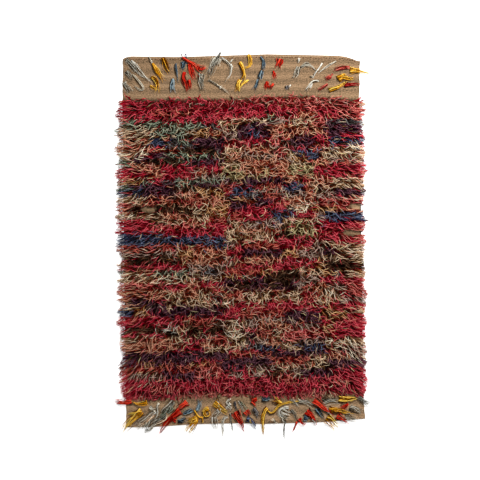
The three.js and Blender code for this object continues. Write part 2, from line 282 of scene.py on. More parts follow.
def wool_weave_material():
    """Hand-spun beige wool in weft-faced weave: stripes of changing wool across, short flecks of darker
    and lighter fibre, and the beads of the weave in relief, with painted shade in the hollows between
    them. The point value shade brings in the painted light and shade of the cloth."""
    material, tree, shader = new_material("weft-faced beige wool", 0.95)
    place = add_node(tree, "TexCoord").outputs["Object"]
    split = add_node(tree, "SeparateXYZ", {0: place})

    # Stripes that wander a little, from one dye pot or fleece to the next, made up of single
    # shots of weft 8 mm along and far longer across.
    wander = add_node(tree, "TexNoise", {"Vector": place, "Scale": 2.2, "Detail": 2.0})
    along = add_node(tree, "Math", {0: wander, 1: STRIPE_WANDER, 2: split.outputs["Y"]},
                     operation="MULTIPLY_ADD")
    phase = add_node(tree, "Math", {0: along, 1: 2 * math.pi / STRIPE_EVERY}, operation="MULTIPLY")
    stripe = add_node(tree, "Math", {0: phase}, operation="SINE")
    shots = add_node(tree, "Mapping", {"Vector": place, "Scale": (7.0, 120.0, 1.0)})
    streak = add_node(tree, "TexNoise",
                      {"Vector": shots, "Scale": 1.0, "Detail": 4.0, "Roughness": 0.6})
    blend = add_node(tree, "Math", {0: stripe, 1: 0.16, 2: streak}, operation="MULTIPLY_ADD")
    bands = add_node(tree, "ValToRGB", {"Fac": blend})
    set_ramp(bands, ((0.24, "4a3826"), (0.40, "745a3e"), (0.55, "927252"), (0.78, "c09c76")))

    # Flecks 4 to 8 mm long, pinkish and greenish grey, as in unevenly carded wool.
    fleck_place = add_node(tree, "Mapping", {"Vector": place, "Scale": (120.0, 260.0, 1.0)})
    fleck = add_node(tree, "TexNoise", {"Vector": fleck_place, "Scale": 1.0, "Detail": 3.0})
    fleck_colour = add_node(tree, "ValToRGB", {"Fac": fleck})
    set_ramp(fleck_colour, ((0.36, "544e3a"), (0.66, "cea682")))
    wool = add_node(tree, "Mix", {"Factor": 0.55, 6: bands, 7: fleck_colour},
                    data_type="RGBA", blend_type="MIX")

    # Weave: beads of weft, in every other row half a bead aside.
    row = add_node(tree, "Math", {0: split.outputs["Y"], 1: BEAD_LENGTH}, operation="DIVIDE")
    number = add_node(tree, "Math", {0: row}, operation="FLOOR")
    parity = add_node(tree, "Math", {0: number, 1: 2.0}, operation="FLOORED_MODULO")
    column = add_node(tree, "Math", {0: split.outputs["X"], 1: BEAD_WIDTH}, operation="DIVIDE")
    shifted = add_node(tree, "Math", {0: parity, 1: 0.5, 2: column}, operation="MULTIPLY_ADD")
    waves = []
    for source in (shifted, row):
        angle = add_node(tree, "Math", {0: source, 1: math.pi}, operation="MULTIPLY")
        sine = add_node(tree, "Math", {0: angle}, operation="SINE")
        waves.append(add_node(tree, "Math", {0: sine}, operation="ABSOLUTE"))
    beads = add_node(tree, "Math", {0: waves[0], 1: waves[1]}, operation="MULTIPLY")
    relief = add_node(tree, "Math", {0: fleck, 1: 0.9, 2: beads}, operation="MULTIPLY_ADD")
    bump = add_node(tree, "Bump", {"Height": relief, "Distance": BEAD_RELIEF, "Strength": 0.9})

    # Painted shade: the hollows between the beads are made darker than the beads.
    hollow_painted_shade = add_node(tree, "Math", {0: beads, 1: 0.42, 2: 0.66}, operation="MULTIPLY_ADD")
    shade = add_node(tree, "Mix", {"Factor": 1.0, 6: wool.outputs[2], 7: hollow_painted_shade},
                     data_type="RGBA", blend_type="MULTIPLY")
    light = add_node(tree, "Attribute", attribute_name="shade")
    lit = add_node(tree, "Mix", {"Factor": 1.0, 6: shade.outputs[2], 7: light.outputs["Fac"]},
                   data_type="RGBA", blend_type="MULTIPLY")
    tree.links.new(lit.outputs[2], shader.inputs["Base Color"])
    tree.links.new(bump.outputs[0], shader.inputs["Normal"])
    shader.inputs["Specular IOR Level"].default_value = 0.05
    return material


def cloth_grid():
    """Across and along of the cloth's grid, row by row. Every row keeps its distance from the
    nearer end, or its share of the length between the bare ends."""
    from_nearer_end = np.concatenate(
        [RIM_ROWS, np.linspace(INNER_ROW, BARE_LENGTH, CLOTH_END_ROWS)])
    share = np.linspace(0, 1, CLOTH_MIDDLE_ROWS + 2)[1:-1]
    columns = np.concatenate([RIM_COLUMNS, np.linspace(INNER_COLUMN, 1 - INNER_COLUMN, CLOTH_COLUMNS),
                              1 - np.array(RIM_COLUMNS[::-1])])
    level = (2 * columns - 1) * CLOTH_HALF_WIDTH
    low = between(NEAR_END, level)[None, :] + from_nearer_end[:, None]
    high = between(FAR_END, level)[None, :] - from_nearer_end[::-1, None]
    middle = low[-1] + share[:, None] * (high[0] - low[-1])
    along = np.vstack([low, middle, high])
    left = between(LEFT_SIDE, along)
    across = left + columns[None, :] * (between(RIGHT_SIDE, along) - left)
    return across, along


def quads(grid):
    """Faces between the neighbours of a grid of point numbers."""
    corners = [grid[:-1, :-1], grid[:-1, 1:], grid[1:, 1:], grid[1:, :-1]]
    return np.stack(corners, axis=-1).reshape(-1, 4)


def make_ground():
    """Two faces over one grid. Within CLOTH_EDGE_ROUND of the outline the faces follow a quarter
    circle to meet at half height."""
    across, along = cloth_grid()
    rim = np.ones(along.shape, bool)
    rim[1:-1, 1:-1] = False
    inside = np.minimum(np.maximum(from_side(across, along), 0), np.maximum(from_end(across, along), 0))
    inside[rim] = 0
    round_share = np.clip(inside / CLOTH_EDGE_ROUND, 0, 1)
    fullness = np.sqrt(1 - (1 - round_share) ** 2)
    half = (cloth_top(across, along) - CLOTH_LIFT) / 2
    top = CLOTH_LIFT + half * (1 + fullness)
    under = CLOTH_LIFT + half * (1 - fullness)
    # A hand-woven side is never quite straight: it goes in and out a little.
    long_wave, short_wave = WOBBLE_LENGTHS
    wobble = EDGE_WOBBLE * np.sin(along / long_wave) * np.sin(along / short_wave + 2)
    edge = 1 - smooth(0, EDGE_WOBBLE_WIDTH, from_side(across, along))
    across = across + np.sign(across) * edge * (wobble - EDGE_WOBBLE)

    upper = np.stack([across, along, top], axis=-1).reshape(-1, 3)
    lower = np.stack([across, along, under], axis=-1).reshape(-1, 3)
    number = np.arange(along.size).reshape(along.shape)
    below = np.where(rim, number, number + along.size)
    faces = np.vstack([quads(number), quads(below)[:, ::-1]])
    used, corners = np.unique(faces, return_inverse=True)
    points = np.vstack([upper, lower])[used] + MIDDLE
    mesh = bpy.data.meshes.new("kilim_ground")
    mesh.from_pydata(points.tolist(), [], corners.reshape(faces.shape).tolist())
    mesh.polygons.foreach_set("use_smooth", np.ones(len(faces), bool))
    mesh.materials.append(wool_weave_material())
    add_measure(mesh, "shade", np.tile(open_to_light(across, along).ravel(), 2)[used])
    return place_object("kilim_ground", mesh)


ground = make_ground()
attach(ground, "root")
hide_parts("ground")

# ---------------------------------------------------------------------------------------------
# Yarns. Everything else on the rug is dyed wool yarn, knotted or sewn to the cloth: a soft
# hand-spun thread that thins to its cut tip.

YARN_SIDES = 3
# The part of its square in the UV map that a yarn's side fills, in both directions.
CELL_FILL = (0.14, 0.86)
# Where a dye's three colours stand on its ramp.
RAMP_PLACES = (0.05, 0.5, 0.95)

# Each dye from its shaded to its sunlit fibre.
DYES = {
    "crimson": ("440002", "ba0229", "e25a64"),
    "coral": ("4c0402", "b02028", "f0887c"),
    "brick": ("3e0201", "981618", "d4705e"),
    "rust": ("400a00", "b04026", "eaaa88"),
    "ochre": ("361200", "b46c30", "ecba86"),
    "sand": ("381000", "aa7648", "eed0ac"),
    "cream": ("502408", "d8a476", "fff0d2"),
    "sage": ("221a0e", "505e4a", "a8b298"),
    "olive": ("241404", "867044", "dcc894"),
    "taupe": ("300c06", "6e503e", "c8aa98"),
    "slate": ("140e0c", "403c3c", "989290"),
    "navy": ("0c040c", "242e4a", "707a92"),
    "plum": ("100003", "220a1c", "80525e"),
    "umber": ("100200", "1e0e08", "6a4c38"),
    "yellow": ("401600", "dc900a", "ffd860"),
    "red": ("380000", "b81408", "ea4c34"),
    "blue": ("0c161c", "465a6a", "9cb2b8"),
    "grey": ("14110c", "6a6558", "d8d2c0"),
    "white": ("54483a", "e4d8bc", "fffef4"),
    "thread": ("2c1208", "54301c", "7c4c34"),
}


def yarn_points(route, heading, radius):
    """Rings of points round each yarn. route is (yarns, rings, 3), heading the level direction at
    each ring and radius its half thickness. Each ring lies across the route, spanned by the
    level line at right angles to the heading and by the line at right angles to both."""
    ahead = np.gradient(route, axis=1)
    ahead /= np.linalg.norm(ahead, axis=2, keepdims=True) + 1e-12
    aside = np.stack([-np.sin(heading), np.cos(heading), np.zeros_like(heading)], axis=-1)
    up = np.cross(ahead, aside)
    up /= np.linalg.norm(up, axis=2, keepdims=True) + 1e-12
    angle = 2 * np.pi * (np.arange(YARN_SIDES) + 0.25) / YARN_SIDES
    ring = np.cos(angle)[:, None] * aside[:, :, None, :] + np.sin(angle)[:, None] * up[:, :, None, :]
    return route[:, :, None, :] + radius[:, :, None, None] * ring


def yarn_uv(yarns, rings):
    """The UV place of every corner: first of the yarns' sides, then of their first and of their
    last ends. Each yarn has its own cell in a square grid. Along a cell goes the yarn's length,
    up it its girth, and the two cut ends take the strips that are left."""
    low, high = CELL_FILL
    wide = math.ceil(math.sqrt(yarns))
    cell = np.stack([np.arange(yarns) % wide, np.arange(yarns) // wide], axis=-1)
    u = low + (high - low) * (np.arange(rings - 1)[:, None, None] + np.array([0, 1, 1, 0])) / (rings - 1)
    v = low + (high - low) * (np.arange(YARN_SIDES)[None, :, None] + np.array([0, 0, 1, 1])) / YARN_SIDES
    side = np.stack(np.broadcast_arrays(u, v), axis=-1)
    side_uv = (cell[:, None, None, None, :] + side[None]).reshape(-1, 2)
    first_end = np.stack([np.where(np.arange(YARN_SIDES) == 1, low * 0.6, low * 0.1),
                          np.linspace(low, high, YARN_SIDES)], axis=-1)
    last_end = np.stack([1 - first_end[:, 0], first_end[:, 1]], axis=-1)
    ends_uv = [(cell[:, None, :] + end[None]).reshape(-1, 2) for end in (first_end, last_end)]
    return np.concatenate([side_uv, *ends_uv]) / wide


def yarn_piece(name, dye, route, heading, radius, tone, shade):
    """One joined mesh of many yarns of one dye, closed at both ends. At each ring a yarn carries two
    values: tone, how light its wool is, with painted light added in places, and shade, how much light
    gets down to it, as painted shade."""
    yarns, rings = route.shape[:2]
    sides = YARN_SIDES
    points = yarn_points(route, heading, radius).reshape(-1, 3) + MIDDLE
    first = np.arange(yarns)[:, None, None] * rings * sides
    ring = np.arange(rings - 1)[None, :, None] * sides
    side = np.arange(sides)[None, None, :]
    after = (side + 1) % sides
    walls = np.stack([first + ring + side, first + ring + sides + side,
                      first + ring + sides + after, first + ring + after], axis=-1).reshape(-1, 4)
    first_ends = first[:, 0] + np.arange(sides)
    last_ends = first_ends[:, ::-1] + (rings - 1) * sides
    corners = np.concatenate([walls.ravel(), first_ends.ravel(), last_ends.ravel()])
    sizes = np.repeat((4, sides), (len(walls), 2 * yarns))

    mesh = bpy.data.meshes.new(name)
    mesh.vertices.add(len(points))
    mesh.vertices.foreach_set("co", points.ravel())
    mesh.loops.add(len(corners))
    mesh.loops.foreach_set("vertex_index", corners)
    mesh.polygons.add(len(sizes))
    mesh.polygons.foreach_set("loop_start", np.cumsum(sizes) - sizes)
    mesh.polygons.foreach_set("use_smooth", np.ones(len(sizes), bool))
    mesh.update(calc_edges=True)
    mesh.uv_layers.new(name="OFBake").data.foreach_set("uv", yarn_uv(yarns, rings).ravel())
    for label, values in (("tone", tone), ("shade", shade)):
        add_measure(mesh, label, np.broadcast_to(values[:, :, None], (yarns, rings, sides)))
    mesh.materials.append(yarn_material(dye))
    return place_object(name, mesh)


def yarn_material(dye):
    """Dyed hand-spun wool: matt, with a soft bloom of loose fibre. Yarns differ in tone and their tips
    are lighter, and the tone also carries painted light, worked out where the yarns are made. Deep
    between the others a yarn lies in painted shade: the value shade mixes in the dye's shaded colour."""
    name = f"{dye} wool yarn"
    if name in bpy.data.materials:
        return bpy.data.materials[name]
    material, tree, shader = new_material(name, 0.85)
    tone = add_node(tree, "Attribute", attribute_name="tone").outputs["Fac"]
    shade = add_node(tree, "Attribute", attribute_name="shade").outputs["Fac"]
    place = add_node(tree, "TexCoord").outputs["Object"]
    # Fibres: flecks of about 4 mm, coarser than real ones, which would not show.
    fibre = add_node(tree, "TexNoise", {"Vector": place, "Scale": 230.0, "Detail": 2.0})
    level = add_node(tree, "Math", {0: fibre, 1: 1.5, 2: tone}, operation="MULTIPLY_ADD")
    ramp = add_node(tree, "ValToRGB", {"Fac": level})
    set_ramp(ramp, tuple(zip(RAMP_PLACES, DYES[dye])))
    shaded = add_node(tree, "Mix", {"Factor": shade, 6: linear(DYES[dye][0]), 7: ramp},
                      data_type="RGBA")
    bump = add_node(tree, "Bump", {"Height": fibre, "Distance": 0.8 * MM, "Strength": 0.7})
    tree.links.new(shaded.outputs[2], shader.inputs["Base Color"])
    tree.links.new(bump.outputs[0], shader.inputs["Normal"])
    shader.inputs["Specular IOR Level"].default_value = 0.0
    return material


# ---------------------------------------------------------------------------------------------
# Hem stitches. The far hem is sewn down with a running stitch of dark red-brown thread, each
# stitch a short yarn that dips into the cloth at both ends.

STITCH_REACH = 560 * MM
STITCH_INSET = 15 * MM
STITCH_EVERY = 13 * MM
STITCH_LENGTH = 8 * MM
STITCH_RADIUS = 1.8 * MM
STITCH_RISE = np.array([-0.9, 0.8, -0.9]) * MM


def make_stitches():
    """One straight yarn of three rings for each stitch, all in a line along the hem."""
    rng = np.random.default_rng(3)
    centre = np.arange(-STITCH_REACH, STITCH_REACH, STITCH_EVERY)
    count = len(centre)
    centre = centre + rng.normal(0, 1.2 * MM, count)
    length = STITCH_LENGTH * rng.uniform(0.7, 1.2, count)
    x = centre[:, None] + length[:, None] * np.array([-0.5, 0, 0.5])
    y = between(FAR_END, x) - STITCH_INSET + rng.normal(0, 0.8 * MM, count)[:, None]
    z = cloth_top(x, y) + STITCH_RISE
    tone = np.broadcast_to(rng.uniform(-0.6, 0.1, count)[:, None], x.shape)
    return yarn_piece("hem_stitches", "thread", np.stack([x, y, z], axis=-1), np.zeros(x.shape),
                      np.full(x.shape, STITCH_RADIUS), tone, np.ones(x.shape))


stitches = make_stitches()
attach(stitches, "root")

# ---------------------------------------------------------------------------------------------
# Pile. Wool yarns knotted into the cloth row by row. They stand up at the knot, fall over and
# lie on each other, combed outwards along both sides, where they hang past the cloth to the
# floor, and in loose curls over the middle.

# Which wool the weaver knotted where: crimson all over but for these patches, laid down in this
# order, later ones over earlier ones. In centimetres: left and right from the cloth's left side,
# far and near from the pile's far end.
PATCHES = (
    ("coral", 49, 62, 0, 11), ("crimson", 60, 88, 0, 10), ("coral", 60, 120, 0, 1.5),
    ("coral", 62, 72, 0.5, 3), ("coral", 80, 90, 0.5, 4), ("coral", 88, 120, 1, 11),
    ("crimson", 50, 60, 3, 9.5), ("crimson", 98, 110, 5, 9), ("brick", 15, 35, 6, 9),
    ("rust", 88, 97, 6, 9.5), ("sand", 60, 72, 9.5, 13), ("taupe", 71, 86, 9.5, 13),
    ("sage", 73, 77, 8.5, 11), ("sand", 84, 100, 9.5, 14.5), ("coral", 96, 105, 10, 14.5),
    ("sand", 48, 60, 10.5, 17), ("slate", 103, 121, 10.5, 13.5), ("sage", 0, 20, 11, 15),
    ("sage", 10, 37, 12, 15.5), ("slate", 38, 47, 13, 15.5), ("sage", 30, 40, 12, 14.5),
    ("taupe", 50, 58, 16, 20.5), ("plum", 58, 76, 13, 20), ("rust", 74, 86, 12.5, 19.5),
    ("plum", 103, 120, 13, 16), ("rust", 85, 101, 14, 19.5), ("plum", 101, 111, 14.5, 18),
    ("sand", 0, 17, 15, 20.5), ("sage", 15, 33, 15.5, 20), ("ochre", 32, 43, 15, 19.5),
    ("sand", 32, 37, 15, 18), ("rust", 43, 50, 15.5, 20), ("navy", 63, 67, 15.5, 18.5),
    ("brick", 100, 121, 16.5, 19.5), ("crimson", 111, 121, 16.5, 19), ("plum", 104, 110, 17, 18.5),
    ("crimson", 60, 76, 19.5, 23), ("coral", 75, 82, 19.5, 24), ("umber", 80, 86, 21, 24),
    ("plum", 85, 98, 18.5, 24), ("crimson", 96, 108, 18.5, 22.5), ("rust", -4, 14, 20, 27),
    ("navy", 14, 25, 20.5, 23.5), ("slate", 24, 30, 20, 25), ("rust", 20, 25, 19.5, 21),
    ("slate", 29, 37, 21, 25), ("sage", 28, 37, 20.5, 23), ("plum", 36, 51, 19.5, 27),
    ("coral", 50, 60, 20.5, 24), ("sand", 50, 62, 24, 40), ("plum", 38, 51, 19.5, 25),
    ("navy", 105, 122, 19.5, 22.5), ("sand", -4, 13, 21.5, 23.5), ("taupe", 60, 86, 23, 31),
    ("brick", 92, 99, 23.5, 27), ("cream", 100, 121, 23.5, 29), ("rust", 60, 75, 24, 27),
    ("coral", 76, 84, 24, 28.5), ("rust", 15, 27, 25, 28), ("umber", 27, 37, 25, 28),
    ("sage", 33, 50, 27, 32.5), ("umber", 32, 45, 25, 27), ("sand", 82, 88, 25.5, 29),
    ("cream", -4, 12, 26, 30.5), ("navy", 86, 99, 26, 29.5), ("plum", 15, 20, 27, 30),
    ("sage", 20, 33, 27, 31), ("rust", 52, 60, 27, 31), ("sand", 99, 121, 28, 33.5),
    ("rust", 60, 86, 30, 36.5), ("ochre", 85, 93, 28.5, 31), ("taupe", 102, 121, 29.5, 33),
    ("sand", 84, 96, 31, 40), ("brick", 108, 121, 31, 33), ("crimson", 103, 122, 32.5, 35),
    ("rust", 95, 104, 29.5, 34.5), ("sage", -4, 7, 30, 34.5), ("plum", 6, 16, 30, 33),
    ("umber", 15, 30, 30.5, 33.5), ("plum", 34, 50, 30.5, 33), ("rust", 4, 19, 32.5, 36),
    ("crimson", 95, 122, 34, 39.5), ("olive", 83, 96, 33, 39.5), ("crimson", 17, 35, 33.5, 35),
    ("crimson", 34, 51, 33.5, 36), ("taupe", 36, 50, 35.5, 41), ("crimson", 42, 48, 34, 37.5),
    ("olive", 50, 60, 34, 41), ("rust", 12, 21, 34.5, 40), ("crimson", 20, 36, 34.5, 40),
    ("ochre", 60, 81, 35, 40), ("olive", 62, 79, 36, 41), ("rust", 74, 82, 34.5, 38),
    ("coral", -4, 6, 35, 38), ("rust", 37, 42, 35, 39), ("rust", 62, 70, 35, 38),
    ("crimson", -4, 12, 36, 40), ("brick", 72, 80, 38, 40), ("rust", -4, 11, 39.5, 43.5),
    ("ochre", -2, 10, 40, 43.5), ("sage", 11, 17, 41, 44), ("crimson", 16, 24, 39.5, 42.5),
    ("slate", 20, 28, 41, 44), ("sage", 28, 50, 40, 44), ("sage", -4, 4, 43, 46),
    ("plum", 4, 25, 43, 48), ("coral", 51, 57, 43.5, 47), ("taupe", 24, 36, 44, 48),
    ("plum", 36, 50, 42.5, 45.5), ("taupe", 50, 61, 40.5, 43), ("brick", 50, 60, 42, 45),
    ("plum", 60, 81, 40, 44), ("rust", 81, 92, 37.5, 42.5), ("rust", 90, 100, 38.5, 46),
    ("sand", 96, 122, 39.5, 45), ("rust", 97, 104, 40, 43.5), ("crimson", 86, 92, 40.5, 44),
    ("plum", 52, 58, 41, 42.5), ("brick", 69, 82, 42.5, 46), ("navy", 81, 90, 42.5, 47),
    ("crimson", 60, 68, 43.5, 47), ("navy", -4, 13, 46, 49.5), ("taupe", 24, 36, 47.5, 50),
    ("rust", 12, 24, 48, 50.5), ("plum", 10, 25, 44, 48), ("ochre", 37, 52, 45, 49.5),
    ("rust", 28, 38, 46, 50), ("umber", 30, 37, 44.5, 46), ("navy", 55, 67, 45, 49),
    ("taupe", 66, 81, 45, 50.5), ("sand", 80, 100, 46.5, 54.5), ("taupe", 96, 108, 45, 51),
    ("plum", 107, 122, 45, 47.5), ("rust", 84, 96, 46, 53), ("taupe", 80, 92, 46, 49.5),
    ("brick", 70, 80, 46.5, 49.5), ("slate", 63, 70, 47, 49.5), ("slate", -4, 4, 48.5, 52),
    ("ochre", 50, 62, 48.5, 53), ("slate", 53, 56, 48.5, 50.5), ("cream", 110, 121, 48.5, 50.5),
    ("sand", 0, 11, 49, 53.5), ("brick", 10, 36, 50, 54), ("rust", 35, 53, 49, 54),
    ("rust", 20, 30, 50, 53), ("brick", 33, 42, 50, 53), ("plum", 64, 78, 50, 53),
    ("plum", 54, 62, 52, 55.5), ("rust", 60, 67, 50, 52), ("cream", 88, 98, 51, 54.5),
    ("rust", 80, 89, 51, 54), ("coral", 76, 83, 50, 54.5), ("coral", 98, 120, 50, 54),
    ("brick", 100, 112, 51, 54), ("coral", -4, 4, 52, 55), ("crimson", 72, 81, 52.5, 56),
    ("ochre", 44, 53, 53, 59), ("umber", 16, 34, 53.5, 57), ("cream", 82, 97, 53.5, 57.5),
    ("ochre", 95, 108, 53.5, 57), ("rust", -4, 5, 54.5, 56.5), ("cream", -4, 8, 57, 61),
    ("sand", 7, 36, 57, 61), ("umber", 4, 11, 54, 57.5), ("sand", 35, 44, 54, 61),
    ("ochre", 42, 50, 54, 58), ("crimson", 60, 78, 54.5, 61), ("rust", 106, 120, 54.5, 57.5),
    ("navy", 75, 85, 56, 60.5), ("brick", 53, 60, 56.5, 61), ("crimson", 85, 97, 56.5, 60),
    ("taupe", 96, 103, 56.5, 60), ("navy", 102, 122, 56.5, 60.5), ("rust", 19, 32, 57, 60),
    ("sand", 35, 44, 60, 65), ("brick", 43, 53, 58.5, 62), ("crimson", 43, 57, 61.5, 71),
    ("sand", 51, 61, 64.5, 72), ("taupe", 60, 81, 60.5, 66), ("navy", 78, 81, 57, 61),
    ("sand", 80, 98, 59.5, 70), ("crimson", -4, 15, 60, 68), ("sand", 16, 36, 60, 64),
    ("taupe", 72, 76, 60, 63), ("rust", 30, 40, 60.5, 64), ("coral", 14, 36, 62.5, 66),
    ("crimson", 34, 45, 64.5, 71), ("navy", 43, 52, 69.5, 74.5), ("taupe", 51, 58, 70, 75),
    ("sand", 52, 60, 60.5, 71), ("olive", 83, 95, 61, 69), ("crimson", 97, 122, 61, 71.5),
    ("coral", 111, 122, 64, 70), ("rust", 60, 78, 64.5, 68.5), ("crimson", 16, 36, 65, 69),
    ("sand", 60, 77, 67, 71), ("umber", 76, 88, 67.5, 69), ("navy", -1, 20, 68, 73),
    ("navy", 20, 43, 69.5, 73), ("crimson", 78, 96, 69.5, 75), ("taupe", 95, 105, 70.5, 75),
    ("brick", 56, 78, 71.5, 75.5), ("sand", 101, 121, 72, 80.5), ("brick", -4, 30, 73, 76.5),
    ("brick", 30, 43, 73, 76), ("rust", 88, 95, 74, 77), ("ochre", 27, 36, 75, 80),
    ("rust", 35, 55, 74.5, 82.5), ("crimson", 52, 60, 74.5, 78), ("taupe", 88, 100, 75, 80.5),
    ("plum", 100, 107, 74.5, 77.5), ("plum", 60, 81, 75.5, 79.5), ("ochre", 80, 88, 75, 78.5),
    ("cream", 111, 121, 75.5, 78.5), ("taupe", 0, 28, 76, 80), ("taupe", 52, 57, 78, 84),
    ("crimson", 82, 90, 78, 83), ("rust", 28, 35, 79.5, 84), ("umber", 18, 28, 79, 82),
    ("brick", 56, 62, 80, 85), ("rust", 60, 80, 79, 82.5), ("ochre", 97, 102, 79, 84.5),
    ("rust", -4, 3, 82, 84.5), ("umber", 2, 15, 79.5, 82.5), ("umber", 101, 122, 80.5, 85),
    ("crimson", 60, 81, 82, 86), ("brick", 60, 71, 85, 88.5), ("ochre", 69, 78, 85, 89),
    ("umber", 76, 88, 86, 89), ("sand", 84, 93, 84, 90), ("ochre", 92, 121, 84.5, 89),
    ("umber", 101, 110, 81, 84.5), ("umber", 111, 121, 81, 84.5), ("taupe", 34, 52, 82.5, 88.5),
    ("slate", 40, 47, 84, 87), ("rust", 5, 16, 84.5, 88), ("brick", 52, 61, 84.5, 89),
    ("grey", -4, 5, 85, 88.5), ("sand", 91, 100, 85, 89), ("sage", 16, 34, 85.5, 88.5),
    ("sand", 3, 12, 86, 89), ("sand", 110, 121, 86, 89), ("sage", 60, 67, 88, 90.5),
    ("plum", 60, 86, 90, 94.5), ("taupe", 85, 91, 90, 99), ("plum", 69, 87, 88.5, 94.5),
    ("umber", 76, 89, 86.5, 89.5), ("cream", 0, 10, 87, 90), ("slate", 106, 110, 87, 89.5),
    ("sand", 0, 38, 88, 92), ("sand", 37, 51, 88, 91.5), ("ochre", 50, 58, 88.5, 91),
    ("taupe", 90, 101, 88.5, 92), ("cream", 16, 37, 89, 91.5), ("crimson", 100, 122, 89, 94),
    ("umber", 72, 84, 89.5, 93), ("coral", -4, 20, 91.5, 94), ("crimson", 18, 34, 92, 96),
    ("rust", 33, 51, 91.5, 95), ("rust", 13, 23, 94.5, 100), ("rust", 60, 87, 95, 98),
    ("sand", 20, 31, 96, 104), ("rust", 30, 48, 94.5, 101), ("sand", 38, 48, 99, 105),
    ("slate", 47, 50, 98, 101), ("rust", 50, 62, 94.5, 101), ("plum", 51, 67, 90, 95),
    ("coral", 111, 122, 90.5, 95), ("crimson", 38, 50, 91, 93.5), ("umber", 56, 64, 91, 94),
    ("brick", 90, 97, 93, 99), ("rust", 94, 103, 91.5, 97), ("cream", 99, 107, 94, 100.5),
    ("taupe", 104, 113, 92, 96), ("rust", -4, 15, 94, 100.5), ("coral", 111, 122, 94, 99.5),
    ("cream", 99, 110, 95, 100), ("sand", 38, 47, 96, 99.5), ("brick", 51, 60, 96, 99),
    ("sand", 60, 90, 96, 102), ("sand", 60, 74, 100, 104), ("crimson", 72, 100, 101, 106),
    ("sand", 97, 106, 99, 103), ("plum", 15, 28, 104, 108), ("plum", 27, 41, 104, 108),
    ("sand", 20, 40, 99.5, 104.5), ("taupe", 109, 122, 99.5, 102.5), ("plum", 2, 15, 100, 104),
    ("cream", 50, 57, 100, 104), ("rust", -4, 3, 100.5, 103), ("cream", -4, 6, 103.5, 106),
    ("ochre", 4, 13, 104, 108.5), ("taupe", 11, 15, 103, 106), ("plum", 4, 14, 101, 103.5),
    ("crimson", 57, 70, 101.5, 110), ("crimson", 105, 116, 101.5, 104.5), ("plum", 15, 22, 102, 106.5),
    ("plum", 27, 52, 104, 107.5), ("taupe", 84, 93, 104.5, 108), ("brick", 60, 84, 105, 109.5),
    ("plum", 82, 99, 106.5, 113), ("ochre", 99, 120, 104.5, 110), ("sand", 112, 121, 105, 107),
    ("navy", -4, 4, 105.5, 109), ("crimson", 113, 122, 107, 110), ("crimson", -4, 47, 108.5, 114),
    ("coral", -4, 8, 109, 111), ("brick", 30, 46, 109.5, 114), ("taupe", 45, 54, 110, 114),
    ("sand", 52, 62, 110, 125), ("taupe", 60, 82, 109, 115), ("coral", 108, 122, 109, 111),
    ("grey", 21, 31, 113.5, 117), ("umber", 43, 53, 114, 117), ("rust", 66, 76, 114.5, 119),
    ("umber", 22, 28, 116, 118.5), ("sand", 27, 34, 114, 118), ("umber", 33, 40, 113.5, 120),
    ("plum", 61, 67, 116.5, 121), ("taupe", 37, 46, 117.5, 120.5), ("brick", 44, 55, 118, 124),
    ("taupe", 60, 74, 119, 123), ("slate", 61, 69, 122.5, 124.5), ("sand", 53, 62, 110, 124),
    ("rust", 78, 88, 112, 116), ("taupe", 84, 101, 111.5, 115), ("crimson", 99, 122, 110.5, 120),
    ("rust", 68, 80, 111, 114), ("cream", 54, 60, 113, 120), ("ochre", 100, 106, 113, 116.5),
    ("sand", 0, 16, 118.5, 122), ("rust", 8, 24, 119, 123), ("rust", -2, 23, 121, 127.5),
    ("sand", 22, 34, 118.5, 122), ("umber", 33, 41, 113.5, 119), ("umber", 1, 20, 114.5, 117),
    ("brick", 68, 74, 114.5, 118), ("sand", 74, 83, 115, 120), ("coral", 80, 106, 115.5, 120.5),
    ("rust", 72, 80, 120, 124), ("sand", 79, 89, 120, 125), ("taupe", 88, 104, 119.5, 122.5),
    ("cream", 103, 121, 119.5, 125), ("rust", 22, 32, 121, 125.5), ("crimson", 31, 42, 120, 125.5),
    ("taupe", 87, 99, 120.5, 123), ("rust", 41, 46, 121, 125.5), ("navy", 90, 101, 123, 125.5),
    ("sand", 42, 54, 123.5, 126), ("navy", 70, 78, 123.5, 126), ("taupe", 108, 122, 124, 128),
    ("plum", 70, 102, 125.5, 129), ("brick", 54, 73, 126, 130), ("plum", 33, 53, 126.5, 129.5),
    ("plum", 0, 20, 127, 133.5), ("plum", 19, 34, 127, 131.5), ("plum", 58, 76, 129, 133.5),
    ("brick", 74, 96, 128.5, 133), ("sand", 94, 105, 127, 134.5), ("rust", 103, 114, 127, 131),
    ("brick", 5, 51, 131.5, 136.5), ("ochre", 34, 42, 131, 133), ("ochre", 10, 20, 132, 134),
    ("plum", 0, 35, 127.5, 132), ("cream", 112, 121, 127.5, 131.5), ("brick", 15, 39, 134.5, 138),
    ("coral", 37, 51, 134, 139), ("plum", 50, 61, 130, 134.5), ("crimson", 60, 66, 133.5, 139),
    ("plum", 51, 60, 130, 134.5), ("plum", 104, 122, 130.5, 134.5), ("taupe", 64, 81, 133, 138),
    ("sand", 79, 101, 132.5, 137), ("umber", 74, 86, 136, 139), ("taupe", 84, 91, 134, 138),
    ("plum", 90, 107, 134.5, 139), ("crimson", 105, 122, 134, 140), ("brick", -2, 16, 134.5, 138),
    ("taupe", 53, 60, 136, 140), ("taupe", 2, 23, 137.5, 140.5), ("plum", 22, 37, 137, 141.5),
    ("crimson", 60, 122, 138.5, 152), ("brick", 74, 87, 138, 141.5), ("crimson", 36, 62, 139, 152),
    ("coral", 104, 116, 140, 143), ("crimson", -4, 38, 140.5, 152), ("coral", 14, 26, 143, 147),
    ("coral", 28, 60, 146, 150), ("coral", 88, 113, 146, 150), ("sand", 100, 109, 147.5, 150),
)
